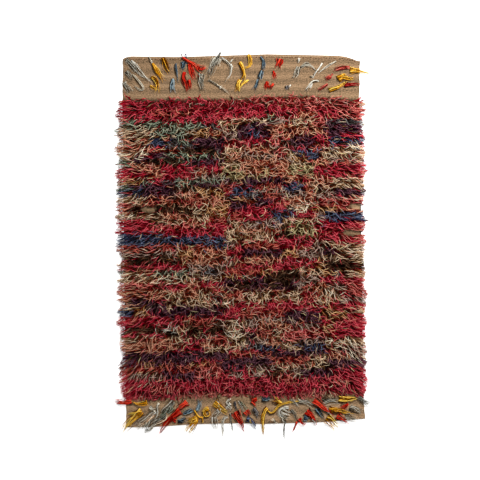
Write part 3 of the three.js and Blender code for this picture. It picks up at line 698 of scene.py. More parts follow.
# Where the patches' zero is, and within which of their centimetres a yarn's wool is looked up.
CHART_LEFT = -607.5 * MM
CHART_FAR = 715 * MM
CHART_WIDTH = (0.1, 119.2)
CHART_LENGTH = (0.1, 149.8)
WOOLS = list(DYES)
CRIMSON = WOOLS.index("crimson")
DARK_WOOLS = [WOOLS.index(dye) for dye in ("navy", "plum", "umber", "slate")]
ODD_ENDS = [WOOLS.index(dye) for dye in
            ("crimson", "rust", "coral", "brick", "sand", "taupe", "olive", "umber")]
# In centimetres: how far the yarns have fallen towards the near end from where their patch is,
# how far the dark wools spill over the patches next to them, and how far yarns stray from their
# patch. A few of them, a share of STRAYERS, stray FAR_STRAY.
FALLEN = 0.9
DARK_SPILL = 0.5
STRAY = 0.4
FAR_STRAY = 3.0
STRAYERS = 0.13

# The places of the knots: how far inside the near and far end of the pile the last of them are,
# how near to the sides they may be as shares of the width, and how far each stands off its
# place, in rows along and in columns across.
NEAR_KNOTS = 10 * MM
FAR_KNOTS = 12 * MM
KNOT_COLUMNS = (0.003, 0.997)
ROW_SCATTER = 0.3
COLUMN_SCATTER = 0.4

# A yarn falls to the right where its swing is over 0. It is a drift from place to place, a
# scatter from yarn to yarn, and a pull outwards, which the sides add to.
SWING_DRIFT = 0.2
SWING_SCATTER = 0.8
PULL = 0.1
SIDE_PULL = 1.4
# How the yarns fall, in radians: how far they lean to the near end, how unevenly from place to
# place and from yarn to yarn, how far they turn on their way, and how far to the sides and how
# often they waver.
LEAN = 0.55
LEAN_DRIFT = 0.6
LEAN_SCATTER = 0.8
CURL = 1.3
KINK = (0.2, 0.75)
KINKS = (0.8, 1.5)
# Where the yarns lean more than elsewhere: left, right, far and near as in the patches, and by
# how much. It sets in from where to where, inwards from the edge.
LEAN_EDGE = (-2, 4)
LEANS = ((-4, 50, 126, 152, 0.55), (-4, 20, 100, 126, 0.2), (86, 122, 93, 104, 0.5),
         (92, 122, 119, 134, 0.5), (60, 122, 134, 152, 0.4))
# Where they are combed outwards, and where they run straight out past the side, from not at all
# to fully. The middle of the rug is 0 and its side is 1. There they are long enough to reach
# LONGEST_REACH past the cloth, within SIDE_LENGTHS.
COMBED = (0.45, 0.95)
STRAIGHT_OUT = (0.86, 1.0)
LONGEST_REACH = 50 * MM
SIDE_LENGTHS = (30 * MM, 80 * MM)
# Within this of the pile's far and near end the yarns are shorter, down to this share.
SHORT_ENDS = 30 * MM
SHORT_SHARE = 0.62

# How far the locks hang out past the cloth's two sides: how far down the pile in
# centimetres, and the reach in millimetres.
LEFT_LOCKS = np.array([
    (0, 8), (2, 24), (4, 10), (6.5, 32), (7.5, 22), (8.7, 32), (10.5, 12), (12, 4), (14.5, 6),
    (16, 38), (17.3, 16), (19, 27), (20.3, 2), (23, 23), (24, 22), (25.7, 38), (27, 26), (28.3, 22),
    (29.8, 4), (31.5, 8), (33.2, 31), (34.2, 12), (36, 30), (37.3, 24), (39, 37), (40.5, 16),
    (41.7, 21), (42.7, 14), (43.8, 37), (45, 40), (46, 26), (47.2, 37), (48.5, 20), (50, 30),
    (51.5, 31), (52.5, 18), (54, 28), (55, 20), (56, 28), (57.5, 14), (59, 35), (60.5, 20),
    (62, 37), (64.5, 18), (65.5, 20), (67, 42), (68.8, 14), (71, 29), (72.5, 16), (74, 42),
    (75, 22), (76, 29), (77.5, 18), (79, 6), (82, 1), (83.2, 27), (85, 12), (86.5, 32), (88, 10),
    (90, 6), (91.5, 35), (93, 18), (95.5, 28), (96.5, 24), (97.6, 38), (98.8, 12), (99.7, 2),
    (101, 30), (102.5, 12), (104, 8), (106.5, 27), (108, 20), (110, 26), (112.5, 31), (113.8, 28),
    (114.8, 10), (116.5, 15), (118.5, 10), (121, 14), (124, 12), (127, 6), (130, 2), (132.5, 10),
    (134.7, 24), (136, 12), (137.8, 22), (140, 10), (143, 16), (145, 8), (147.2, 13), (149, 2),
])
RIGHT_LOCKS = np.array([
    (0, 10), (2.5, 39), (4.3, 12), (6, 38), (8, 37), (9.8, 6), (11.5, 17), (12.3, 14), (13.2, 28),
    (14.8, 4), (17, 18), (19, 20), (20.5, 28), (22, 16), (24, 22), (25.5, 19), (27, 24), (29, 21),
    (30.5, 26), (32, 22), (33.5, 29), (35, 22), (36.6, 37), (38, 22), (39.5, 14), (41, 25),
    (43, 16), (44.5, 18), (46.6, 33), (48, 18), (49, 21), (50.5, 8), (52, 4), (53.5, 0.5),
    (54.8, 0.5), (56, 13), (57.5, 4), (59.5, 6), (61.2, 35), (62.3, 20), (63.3, 18), (64.6, 33),
    (66, 2), (67.5, 0.5), (68.6, 30), (69.8, 6), (72, 28), (73.8, 12), (76, 19), (78, 6), (80, 2),
    (82.5, 14), (83.7, 8), (85, 16), (87, 17), (88.5, 12), (91, 14), (93, 0.5), (95, 10),
    (97.7, 27), (99, 20), (100.5, 14), (103.2, 21), (104.5, 12), (107, 10), (109.5, 12),
    (112.6, 25), (114, 8), (116.5, 13), (118.5, 10), (121, 8), (124.5, 14), (126.5, 22), (128, 12),
    (130, 10), (132, 18), (134, 6), (136.5, 13), (138.5, 12), (141, 23), (144, 20), (146, 11),
    (148, 2),
])
# The left side's locks are longer than their rows say, but for the first ones down the pile: a
# little in proportion and by so many millimetres, more from NEAR_LOCKS down. A reach of at most
# GAP is a gap between locks, to which only GAP_SHARE of those millimetres is added.
FIRST_LOCKS = 8
NEAR_LOCKS = 130
LOCK_STRETCH = 1.05
LOCK_MORE = (9, 11)
GAP = 3
GAP_SHARE = 0.7
# A yarn reaches between these shares of its lock's length.
LOCK_SHARES = (0.5, 1.25)

# The yarns' heights are counted from PILE_FLOOR. They stay clear of the cloth and of the floor.
PILE_FLOOR = 5 * MM
CLOTH_CLEARANCE = 0.6 * MM
FLOOR_CLEARANCE = 1.2 * MM
# A yarn is up at its height from RISE_SHARE of its length, droops by up to DROOP at its tip and
# thins by PILE_TAPER towards it.
RISE_SHARE = 0.45
DROOP = 7 * MM
PILE_TAPER = 0.45
# Within EDGE_BAND of the pile's edge the yarns lie lower, down to EDGE_HEIGHT of their height.
# From where to where past the cloth's side they sink to the floor, where ON_FLOOR of it is left.
EDGE_BAND = 60 * MM
EDGE_HEIGHT = 0.4
SINKING = (-5 * MM, 34 * MM)
ON_FLOOR = 0.18
# A yarn is in full light at the upper of these heights and in shade at the lower. Within
# OPEN_EDGE of the pile's edge only its root, up to this share of its length, is in shade.
LIT_HEIGHTS = (10 * MM, 32 * MM)
OPEN_EDGE = 50 * MM
SHADED_ROOT = 0.4

# Every few yarns one is long and pale and comes to lie on top: in part paler wool, in part a painted
# highlight that stands for the light on the uppermost yarns.
PALE_EVERY = 4
PALE_LENGTH = 1.3
# How light the wool is: of most yarns, and of the pale ones of the dark wools, of crimson and of the
# others. How much that changes from yarn to yarn and from place to place. Painted light: how much
# lighter high yarns are made, as they lie in more light, and those at the pile's open ends, and those
# towards the near end (from where to where), where the soft light falls off. How much lighter tips are
# (from which share of the length on). How much darker all are made in the end, and what is the darkest
# and the lightest.
PLAIN_TONE = 0.04
PALE_TONES = (0.44, 0.54, 0.74)
TONE_SCATTER = 0.2
TONE_DRIFT = 0.05
HIGH_YARN_PAINTED_LIGHT = 0.12
OPEN_ENDS_PAINTED_LIGHT = 0.06
NEAR_YARN_PAINTED_LIGHT = 0.18
NEAR_PART = (0.2, 0.8)
TIP_TONE = 0.25
TIP_PART = (0.55, 1.0)
DARKER = 0.55
TONES = (-0.7, 0.5)

# The pile is two layers deep: a lower one of straighter yarns, and one of curly yarns over it.
# Rows of knots, knots across, rings along a yarn, its length, half thickness and how high over
# PILE_FLOOR it lies, the last three from and to, the share of odd ends in it, and the most
# yarns in a piece.
LAYERS = (
    ("under", 54, 150, 3, (34 * MM, 50 * MM), (2.6 * MM, 3.4 * MM), (3 * MM, 12 * MM), 0.5, 9500),
    ("top", 118, 240, 5, (24 * MM, 42 * MM), (0.9 * MM, 1.4 * MM), (9 * MM, 32 * MM), 0.16, 5200),
)
PILE_SEED = 20


def soft_field(rng, across, along, shortest, longest, waves=8):
    """A smooth uneven field of about -1 to 1: the sum of waves in all directions."""
    total = np.zeros_like(across)
    for _ in range(waves):
        turn = rng.uniform(0, 2 * math.pi)
        length = rng.uniform(shortest, longest)
        push = across * math.cos(turn) + along * math.sin(turn)
        total += np.sin(2 * math.pi * push / length + rng.uniform(0, 2 * math.pi))
    return total / math.sqrt(waves)


def chart_place(across, along):
    """A place on the pile in the patches' centimetres."""
    return (across - CHART_LEFT) * 100, (CHART_FAR - along) * 100


def knot_places(rows, knots, rng):
    """Across and along of each knot, its place from -1 at the left side to 1 at the right, and
    how far it is from the pile's nearer end. The rows follow the ends of the pile."""
    shape = (rows, knots)
    row = (np.arange(rows)[:, None] + 0.5 + rng.normal(0, ROW_SCATTER, shape)) / rows
    column = (np.arange(knots)[None, :] + 0.5 + rng.normal(0, COLUMN_SCATTER, shape)) / knots
    row = np.clip(row, 0, 1).ravel()
    column = np.clip(column, *KNOT_COLUMNS).ravel()
    sideways = 2 * column - 1
    first = between(PILE_NEAR, sideways * CLOTH_HALF_WIDTH) + NEAR_KNOTS
    last = between(PILE_FAR, sideways * CLOTH_HALF_WIDTH) - FAR_KNOTS
    along = first + row * (last - first)
    left = between(LEFT_SIDE, along)
    across = left + column * (between(RIGHT_SIDE, along) - left)
    return across, along, sideways, np.minimum(last - along, along - first)


def lean_in_places(across, along):
    """How much more than elsewhere the yarns lean to the near end, in radians."""
    chart_x, chart_y = chart_place(across, along)
    more = np.zeros(len(across))
    for *corners, radians in LEANS:
        more = np.maximum(more, radians * smooth(*LEAN_EDGE, inside_box(chart_x, chart_y, *corners)))
    return more


def fall_of_yarns(across, along, sideways, to_end, pale, length_range, rng):
    """Each yarn's first heading, how far it turns on its way, and its length. The yarns fall to
    either side, crossing, and lean to the near end. The nearer the side, the more of them fall
    outwards, and the straighter they run."""
    count = len(across)
    outward = smooth(*COMBED, np.abs(sideways))
    swing = SWING_DRIFT * soft_field(rng, across, along, 30 * MM, 80 * MM)
    swing = swing + rng.normal(0, SWING_SCATTER, count)
    to_right = swing + np.sign(sideways) * (PULL + SIDE_PULL * outward) > 0
    more = lean_in_places(across, along)
    drift = LEAN_DRIFT * soft_field(rng, across, along, 50 * MM, 200 * MM)
    lean = LEAN - 0.25 * outward + more + drift
    lean = lean + rng.normal(0, 1, count) * (LEAN_SCATTER - 0.5 * outward)
    heading = np.where(to_right, -lean, math.pi + lean)
    curl = rng.normal(0, CURL, count) * (1 - 0.75 * outward)
    heading -= curl * 0.5
    length = rng.uniform(*length_range, count) * np.where(pale, PALE_LENGTH, 1)

    for side, edge, straight in ((-1, LEFT_SIDE, math.pi + more), (1, RIGHT_SIDE, -more)):
        at_side = smooth(*STRAIGHT_OUT, side * sideways)
        heading = heading * (1 - at_side) + (straight + 0.3 * rng.normal(0, 1, count)) * at_side
        curl = curl * (1 - 0.7 * at_side)
        reach = side * (between(edge, along) - across) + LONGEST_REACH
        longest = np.clip(reach * rng.uniform(0.8, 1.3, count), *SIDE_LENGTHS)
        length = length * (1 - at_side) + longest * at_side
    length = length * (SHORT_SHARE + (1 - SHORT_SHARE) * smooth(0, SHORT_ENDS, to_end))
    return heading, curl, length


def lay_yarns(across, along, sideways, heading, curl, length, share, rng):
    """Each yarn's route seen from above: across, along and heading at its rings. It turns
    steadily by its curl and wavers to the sides as a sine, less so where it is combed."""
    count = len(across)
    kink = rng.uniform(*KINK, (count, 1)) * (1 - 0.6 * smooth(*COMBED, np.abs(sideways)))[:, None]
    kinks = rng.uniform(*KINKS, (count, 1))
    turning = heading[:, None] + curl[:, None] * share
    turning = turning + kink * np.sin(2 * math.pi * kinks * share + rng.uniform(0, 6.3, (count, 1)))
    step = length[:, None] / (share.size - 1)
    middle_turn = (turning[:, 1:] + turning[:, :-1]) / 2
    route = []
    for knot, course in ((across, np.cos(middle_turn)), (along, np.sin(middle_turn))):
        gone = np.concatenate([np.zeros((count, 1)), np.cumsum(step * course, axis=1)], axis=1)
        route.append(knot[:, None] + gone)
    return *route, turning


def lengthened(locks):
    """The rows of the left side's locks with their full reach, in whole millimetres."""
    down, reach = locks.T
    more = np.where(down < NEAR_LOCKS, *LOCK_MORE)
    longer = np.where(reach > GAP, LOCK_STRETCH * reach + more, reach + GAP_SHARE * more)
    longer = np.minimum(np.round(longer), LONGEST_REACH / MM)
    return np.stack([down, np.where(down < FIRST_LOCKS, reach, longer)], axis=-1)


def cut_at_locks(x, y, turning, share, rng):
    """Past the side of the cloth a yarn ends where its lock does. Its rings are spread anew over
    what is left of it."""
    count, rings = x.shape
    ragged = rng.uniform(*LOCK_SHARES, (count, 1)) * MM
    stop = np.ones(count)
    pick = np.arange(count)
    left_locks = lengthened(LEFT_LOCKS)
    for side, edge, locks in ((-1, LEFT_SIDE, left_locks), (1, RIGHT_SIDE, RIGHT_LOCKS)):
        over = side * (x - between(edge, y)) - ragged * between(locks, chart_place(x, y)[1])
        first = np.argmax(over > 0, axis=1)
        before = np.maximum(first - 1, 0)
        gap = np.maximum(over[pick, first] - over[pick, before], 0.01 * MM)
        cut = (before + np.clip(-over[pick, before] / gap, 0, 1)) / (rings - 1)
        stop = np.where(first > 0, np.minimum(stop, np.maximum(cut, 0.3)), stop)
    place = share * stop[:, None] * (rings - 1)
    lower = np.minimum(place.astype(int), rings - 2)
    onward = place - lower
    return [np.take_along_axis(line, lower, 1) * (1 - onward)
            + np.take_along_axis(line, lower + 1, 1) * onward for line in (x, y, turning)]


def wool_of_yarns(x, y, odd_share, rng):
    """Each yarn's wool as its number in WOOLS, and whether it lies among the dark wools. It is
    the wool of the patch that the yarn's middle lies on, or of a spot nearby. Odd ends of warm
    wool are mixed in, half as many among the dark wools and crimson."""
    count, rings = x.shape
    middle = rings // 2 + 1
    chart_x, chart_y = chart_place(x[:, middle], y[:, middle])
    stray = np.where(rng.random(count) < STRAYERS, FAR_STRAY, STRAY)
    chart_x = np.clip(chart_x + rng.normal(0, 1, count) * stray, *CHART_WIDTH)
    chart_y = np.clip(chart_y + rng.normal(0, 0.7, count) * stray - FALLEN, *CHART_LENGTH)
    wool = np.full(count, CRIMSON)
    for dye, left, right, far, near in PATCHES:
        number = WOOLS.index(dye)
        spill = DARK_SPILL if number in DARK_WOOLS else 0
        held = (chart_x >= left - spill) & (chart_x < right + spill)
        held &= (chart_y >= far - spill) & (chart_y < near + spill)
        wool[held] = number
    odd_end = rng.choice(ODD_ENDS, count)
    dark = np.isin(wool, DARK_WOOLS)
    odd_share = odd_share * np.where(dark | (wool == CRIMSON), 0.5, 1)
    return np.where(rng.random(count) < odd_share, odd_end, wool), dark


def height_of_yarns(x, y, to_end, height, lay_range, radius_range, share, rng):
    """Each ring's height and half thickness. height says where in its layer a yarn lies, from 0
    to 1. A yarn rises to it as a quarter sine, droops towards its tip, and past the side of the
    cloth sinks to the floor."""
    count = len(x)
    lowest, highest = lay_range
    from_edge = smooth(0, EDGE_BAND, np.minimum(from_side(x[:, 0], y[:, 0]), to_end))
    lay = lowest + (highest - lowest) * height
    lay = (lay * (EDGE_HEIGHT + (1 - EDGE_HEIGHT) * from_edge))[:, None]
    rise = np.sin(np.pi / 2 * np.clip(share / RISE_SHARE, 0, 1))
    droop = DROOP * smooth(0.5, 1.0, share) * rng.uniform(-0.3, 1.0, (count, 1))
    z = PILE_FLOOR + lay * rise - droop
    thinnest, thickest = radius_range
    radius = thinnest + (thickest - thinnest) * rng.random((count, 1))
    radius = radius * (1 - PILE_TAPER * share ** 2.5) * (0.7 + 0.3 * rise)
    past = -from_side(x, y)
    sunk = smooth(*SINKING, past)
    z = z * (1 - sunk) + (FLOOR_CLEARANCE + radius + ON_FLOOR * lay) * sunk
    ground_level = np.where(past > 0, FLOOR_CLEARANCE, CLOTH_THICKNESS + CLOTH_CLEARANCE)
    return np.maximum(z, ground_level + radius), radius


def tone_of_yarns(across, along, to_end, height, pale, wool, dark, share, rng):
    """How light each ring is: its wool's tone, which differs from yarn to yarn and from place to place,
    with lighter tips, and painted light that makes high yarns, those at the pile's open ends and those
    towards the near end lighter.
    """
    pale_tone = np.select((dark, wool == CRIMSON), PALE_TONES[:2], PALE_TONES[2])
    tone = np.where(pale, pale_tone, PLAIN_TONE) + TONE_SCATTER * rng.normal(0, 1, len(across))
    # Painted light: high yarns, yarns at the pile's open ends and yarns towards the near end are made
    # lighter.
    tone = tone + HIGH_YARN_PAINTED_LIGHT * height
    tone = tone + TONE_DRIFT * soft_field(rng, across, along, 30 * MM, 90 * MM)
    tone = tone + OPEN_ENDS_PAINTED_LIGHT * (1 - smooth(0, SHORT_ENDS, to_end))
    tone = tone + NEAR_YARN_PAINTED_LIGHT * smooth(*NEAR_PART, -along)
    return np.clip(tone[:, None] + TIP_TONE * smooth(*TIP_PART, share) - DARKER, *TONES)


def light_on_yarns(x, y, z, to_end, share):
    """How much light gets down to each ring: little deep in the pile, but at its open edges only
    the roots are in shade."""
    lit = smooth(*LIT_HEIGHTS, z)
    fade = smooth(0, OPEN_EDGE, np.minimum(from_side(x, y), 1.7 * to_end[:, None]))
    return lit * fade + (1 - fade) * np.maximum(lit, smooth(0, SHADED_ROOT, share))


def make_layer(layer, rows, knots, rings, length_range, radius_range, lay_range, odd_share,
               most_yarns, rng):
    """One layer of the pile as a few joined meshes of each wool, without the yarns that have
    worn away."""
    share = np.linspace(0, 1, rings)[None, :]
    pale = ((2 * np.arange(rows)[:, None] + np.arange(knots)[None, :]) % PALE_EVERY == 0).ravel()
    across, along, sideways, to_end = knot_places(rows, knots, rng)
    fall = fall_of_yarns(across, along, sideways, to_end, pale, length_range, rng)
    lines = lay_yarns(across, along, sideways, *fall, share, rng)
    x, y, turning = cut_at_locks(*lines, share, rng)
    wool, dark = wool_of_yarns(x, y, odd_share, rng)
    count = len(across)
    height = np.where(pale, rng.uniform(0.7, 1, count), rng.uniform(0, 0.8, count))
    z, radius = height_of_yarns(x, y, to_end, height, lay_range, radius_range, share, rng)
    tone = tone_of_yarns(across, along, to_end, height, pale, wool, dark, share, rng)
    light = light_on_yarns(x, y, z, to_end, share)
    yarns = (np.stack([x, y, z], axis=-1), turning, radius, tone, light)

    bare = np.zeros(count, bool)
    for worn_place in WORN_PLACES:
        bare |= (inside_box(x, y, *worn_place) > 0).any(axis=1)
    made = []
    for number, dye in enumerate(WOOLS):
        chosen = np.flatnonzero((wool == number) & ~bare)
        groups = np.array_split(chosen, max(1, math.ceil(len(chosen) / most_yarns)))
        for part, group in enumerate(groups, 1):
            if len(group):
                name = f"pile_{layer}_{dye}_{part}"
                made.append(yarn_piece(name, dye, *(values[group] for values in yarns)))
    return made


pile_rng = np.random.default_rng(PILE_SEED)
pile_pieces = [piece for layer in LAYERS for piece in make_layer(*layer, pile_rng)]
for piece in pile_pieces:
    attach(piece, "root")
    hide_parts("pile")

# ---------------------------------------------------------------------------------------------
# Tufts. Single bunches of bright yarn knotted on the bare ends. Each is a few strands that lie
# together on the cloth: thick and frayed at one end, thin at the other. Some hang over the
# cloth's edge to the floor.

TUFT_SEED = 7
TUFT_RINGS = 8
LOOSE_FIBRES = 5
# How high the strands lie over the cloth, how far past its edge they are down on the floor, how
# high they arch at most, and how high they are stacked.
TUFT_LIFT = 1.5 * MM
TUFT_DROP = 26 * MM
TUFT_ARCH = 7 * MM
TUFT_STACK = 4 * MM
# How many millimetres apart the strands lie, and half their thickness from and to, in the thin
# wools and in the others. A tuft is TUFT_FULLNESS times as wide as its row says.
THIN_WOOLS = ("grey", "white", "sage")
THIN_STRANDS = (6.0, 1.0 * MM, 1.7 * MM)
THICK_STRANDS = (7.0, 1.9 * MM, 2.8 * MM)
TUFT_FULLNESS = 1.15
# How far along a tuft its strands and its loose fibres end, from and to.
STRAND_ENDS = (0.72, 1.06)
FIBRE_ENDS = (0.9, 1.25)
# How far the loose fibres, the thin strands and the others wander aside, in millimetres.
FIBRE_SWAY = 2.5
THIN_SWAY = 1.0
THICK_SWAY = 0.5
# How light the lower strands are, and how much lighter the uppermost are made, as painted light on the
# strands that lie highest.
TUFT_TONE = -0.45
UPPER_STRAND_PAINTED_LIGHT = 0.4

# The far end's tufts. The number of the tuft's node in the frame (0 for the small ones, which
# have none), its wool, width at the start and at the end, how pale the end is, and the places
# it runs through, in millimetres from the middle of the cloth.
FAR_TUFTS = (
    (1, "grey", 12, 22, 0, (-586, 910), (-566, 890), (-548, 866), (-530, 846)),
    (2, "white", 5, 6, 0, (-562, 904), (-530, 874), (-497, 828), (-472, 800)),
    (0, "grey", 4, 5, 0.3, (-576, 896), (-546, 862), (-510, 826), (-480, 812)),
    (3, "white", 4, 9, 0, (-556, 836), (-522, 800), (-504, 776), (-492, 748), (-514, 752), (-540, 770)),
    (0, "grey", 16, 14, 0, (-584, 850), (-566, 826), (-556, 806)),
    (4, "grey", 14, 22, 0, (-598, 796), (-584, 768), (-564, 742)),
    (0, "white", 6, 5, 0, (-472, 922), (-458, 896), (-452, 880)),
    (5, "yellow", 6, 22, 0, (-454, 890), (-440, 862), (-420, 830), (-404, 806)),
    (6, "yellow", 8, 14, 0, (-464, 820), (-436, 808), (-428, 786), (-430, 744)),
    (0, "yellow", 7, 10, 0, (-468, 776), (-446, 764), (-432, 764)),
    (7, "yellow", 16, 20, 0, (-404, 918), (-392, 892), (-378, 860), (-370, 846)),
    (0, "blue", 5, 6, 0, (-338, 888), (-334, 850), (-330, 806)),
    (0, "blue", 15, 12, 0, (-296, 896), (-300, 872), (-304, 856)),
    (8, "blue", 6, 20, 0, (-352, 812), (-356, 784), (-357, 746)),
    (9, "red", 8, 22, 0, (-308, 918), (-268, 892), (-238, 876), (-216, 850)),
    (0, "red", 12, 16, 0, (-232, 868), (-206, 860), (-190, 872)),
    (10, "red", 12, 24, 0, (-274, 886), (-258, 850), (-244, 806)),
    (11, "red", 14, 24, 0, (-294, 846), (-298, 812), (-284, 780), (-274, 748)),
    (0, "red", 8, 12, 0, (-272, 806), (-266, 784), (-266, 760)),
    (12, "grey", 22, 20, 0, (-210, 838), (-214, 796), (-204, 744)),
    (0, "grey", 3, 3, 0.3, (-228, 836), (-202, 810)),
    (13, "grey", 26, 16, 0, (-118, 922), (-142, 900), (-160, 862), (-176, 812)),
    (0, "grey", 22, 26, 0, (-136, 914), (-142, 892), (-140, 870)),
    (0, "grey", 6, 14, 0, (-112, 944), (-120, 926), (-138, 904)),
    (0, "navy", 3, 3, 0, (-287, 936), (-285, 914)),
    (0, "grey", 3, 3, 0, (-311, 934), (-304, 916)),
    (14, "white", 5, 8, 0, (-112, 918), (-70, 888), (-60, 856), (-70, 824), (-88, 804)),
    (0, "white", 4, 4, 0, (-66, 892), (-54, 906)),
    (0, "white", 4, 4, 0, (-62, 884), (-52, 860)),
    (0, "white", 5, 6, 0, (-178, 804), (-144, 788), (-112, 766), (-80, 742)),
    (0, "white", 4, 4, 0, (-118, 760), (-108, 776)),
    (15, "yellow", 9, 16, 0, (-20, 896), (-2, 862), (6, 832), (-12, 794)),
    (0, "yellow", 9, 8, 0, (20, 932), (38, 910), (34, 872), (2, 862)),
    (0, "yellow", 3, 4, 0, (34, 930), (38, 908)),
    (16, "yellow", 12, 22, 0, (-14, 806), (-26, 780), (-28, 746)),
    (0, "yellow", 5, 9, 0.2, (26, 804), (-2, 786), (-22, 766)),
    (17, "blue", 6, 15, 0, (84, 922), (102, 900), (100, 854)),
    (18, "blue", 14, 20, 0.3, (92, 852), (84, 834), (82, 808)),
    (0, "blue", 6, 14, 0, (72, 808), (66, 778), (54, 750)),
    (19, "red", 22, 20, 0, (186, 910), (182, 890), (174, 864)),
    (0, "red", 6, 14, 0, (148, 850), (154, 832), (160, 812)),
    (20, "red", 6, 22, 0, (115, 798), (118, 776), (124, 756)),
    (0, "red", 6, 16, 0, (152, 786), (140, 770), (126, 760)),
    (0, "white", 6, 5, 0, (281, 914), (274, 890)),
    (21, "grey", 16, 16, 0, (276, 872), (270, 842), (250, 806)),
    (22, "grey", 8, 6, 0.2, (282, 866), (306, 882), (338, 876), (364, 850)),
    (0, "grey", 4, 4, 0.1, (292, 872), (314, 892), (340, 880)),
    (23, "white", 5, 7, 0, (396, 890), (378, 862), (358, 840), (348, 812)),
    (0, "white", 4, 4, 0, (332, 824), (350, 818)),
    (0, "white", 4, 7, 0, (466, 900), (428, 878), (396, 858), (370, 836)),
    (24, "white", 5, 10, 0, (380, 802), (344, 798), (326, 774), (308, 750)),
    (0, "white", 4, 5, 0, (344, 790), (332, 762)),
    (0, "slate", 10, 12, 0.3, (216, 776), (220, 756)),
    (0, "white", 3, 3, -0.3, (238, 780), (224, 764)),
    (25, "brick", 9, 18, 0, (532, 868), (486, 864), (454, 850)),
    (0, "brick", 4, 3, 0.2, (446, 836), (428, 814)),
    (0, "brick", 7, 18, 0, (440, 820), (424, 816), (408, 810)),
    (0, "brick", 6, 16, 0, (422, 784), (396, 770), (372, 754)),
    (26, "yellow", 24, 4, 0.5, (528, 852), (568, 850), (600, 846), (632, 838)),
    (27, "yellow", 26, 12, 0, (470, 806), (494, 820), (524, 812), (552, 806)),
    (0, "yellow", 6, 8, 0, (478, 822), (500, 830), (516, 822)),
    (28, "yellow", 22, 6, 0.4, (424, 750), (456, 762), (484, 776), (512, 792)),
    (29, "brick", 20, 9, 0, (502, 778), (540, 780), (584, 784)),
)

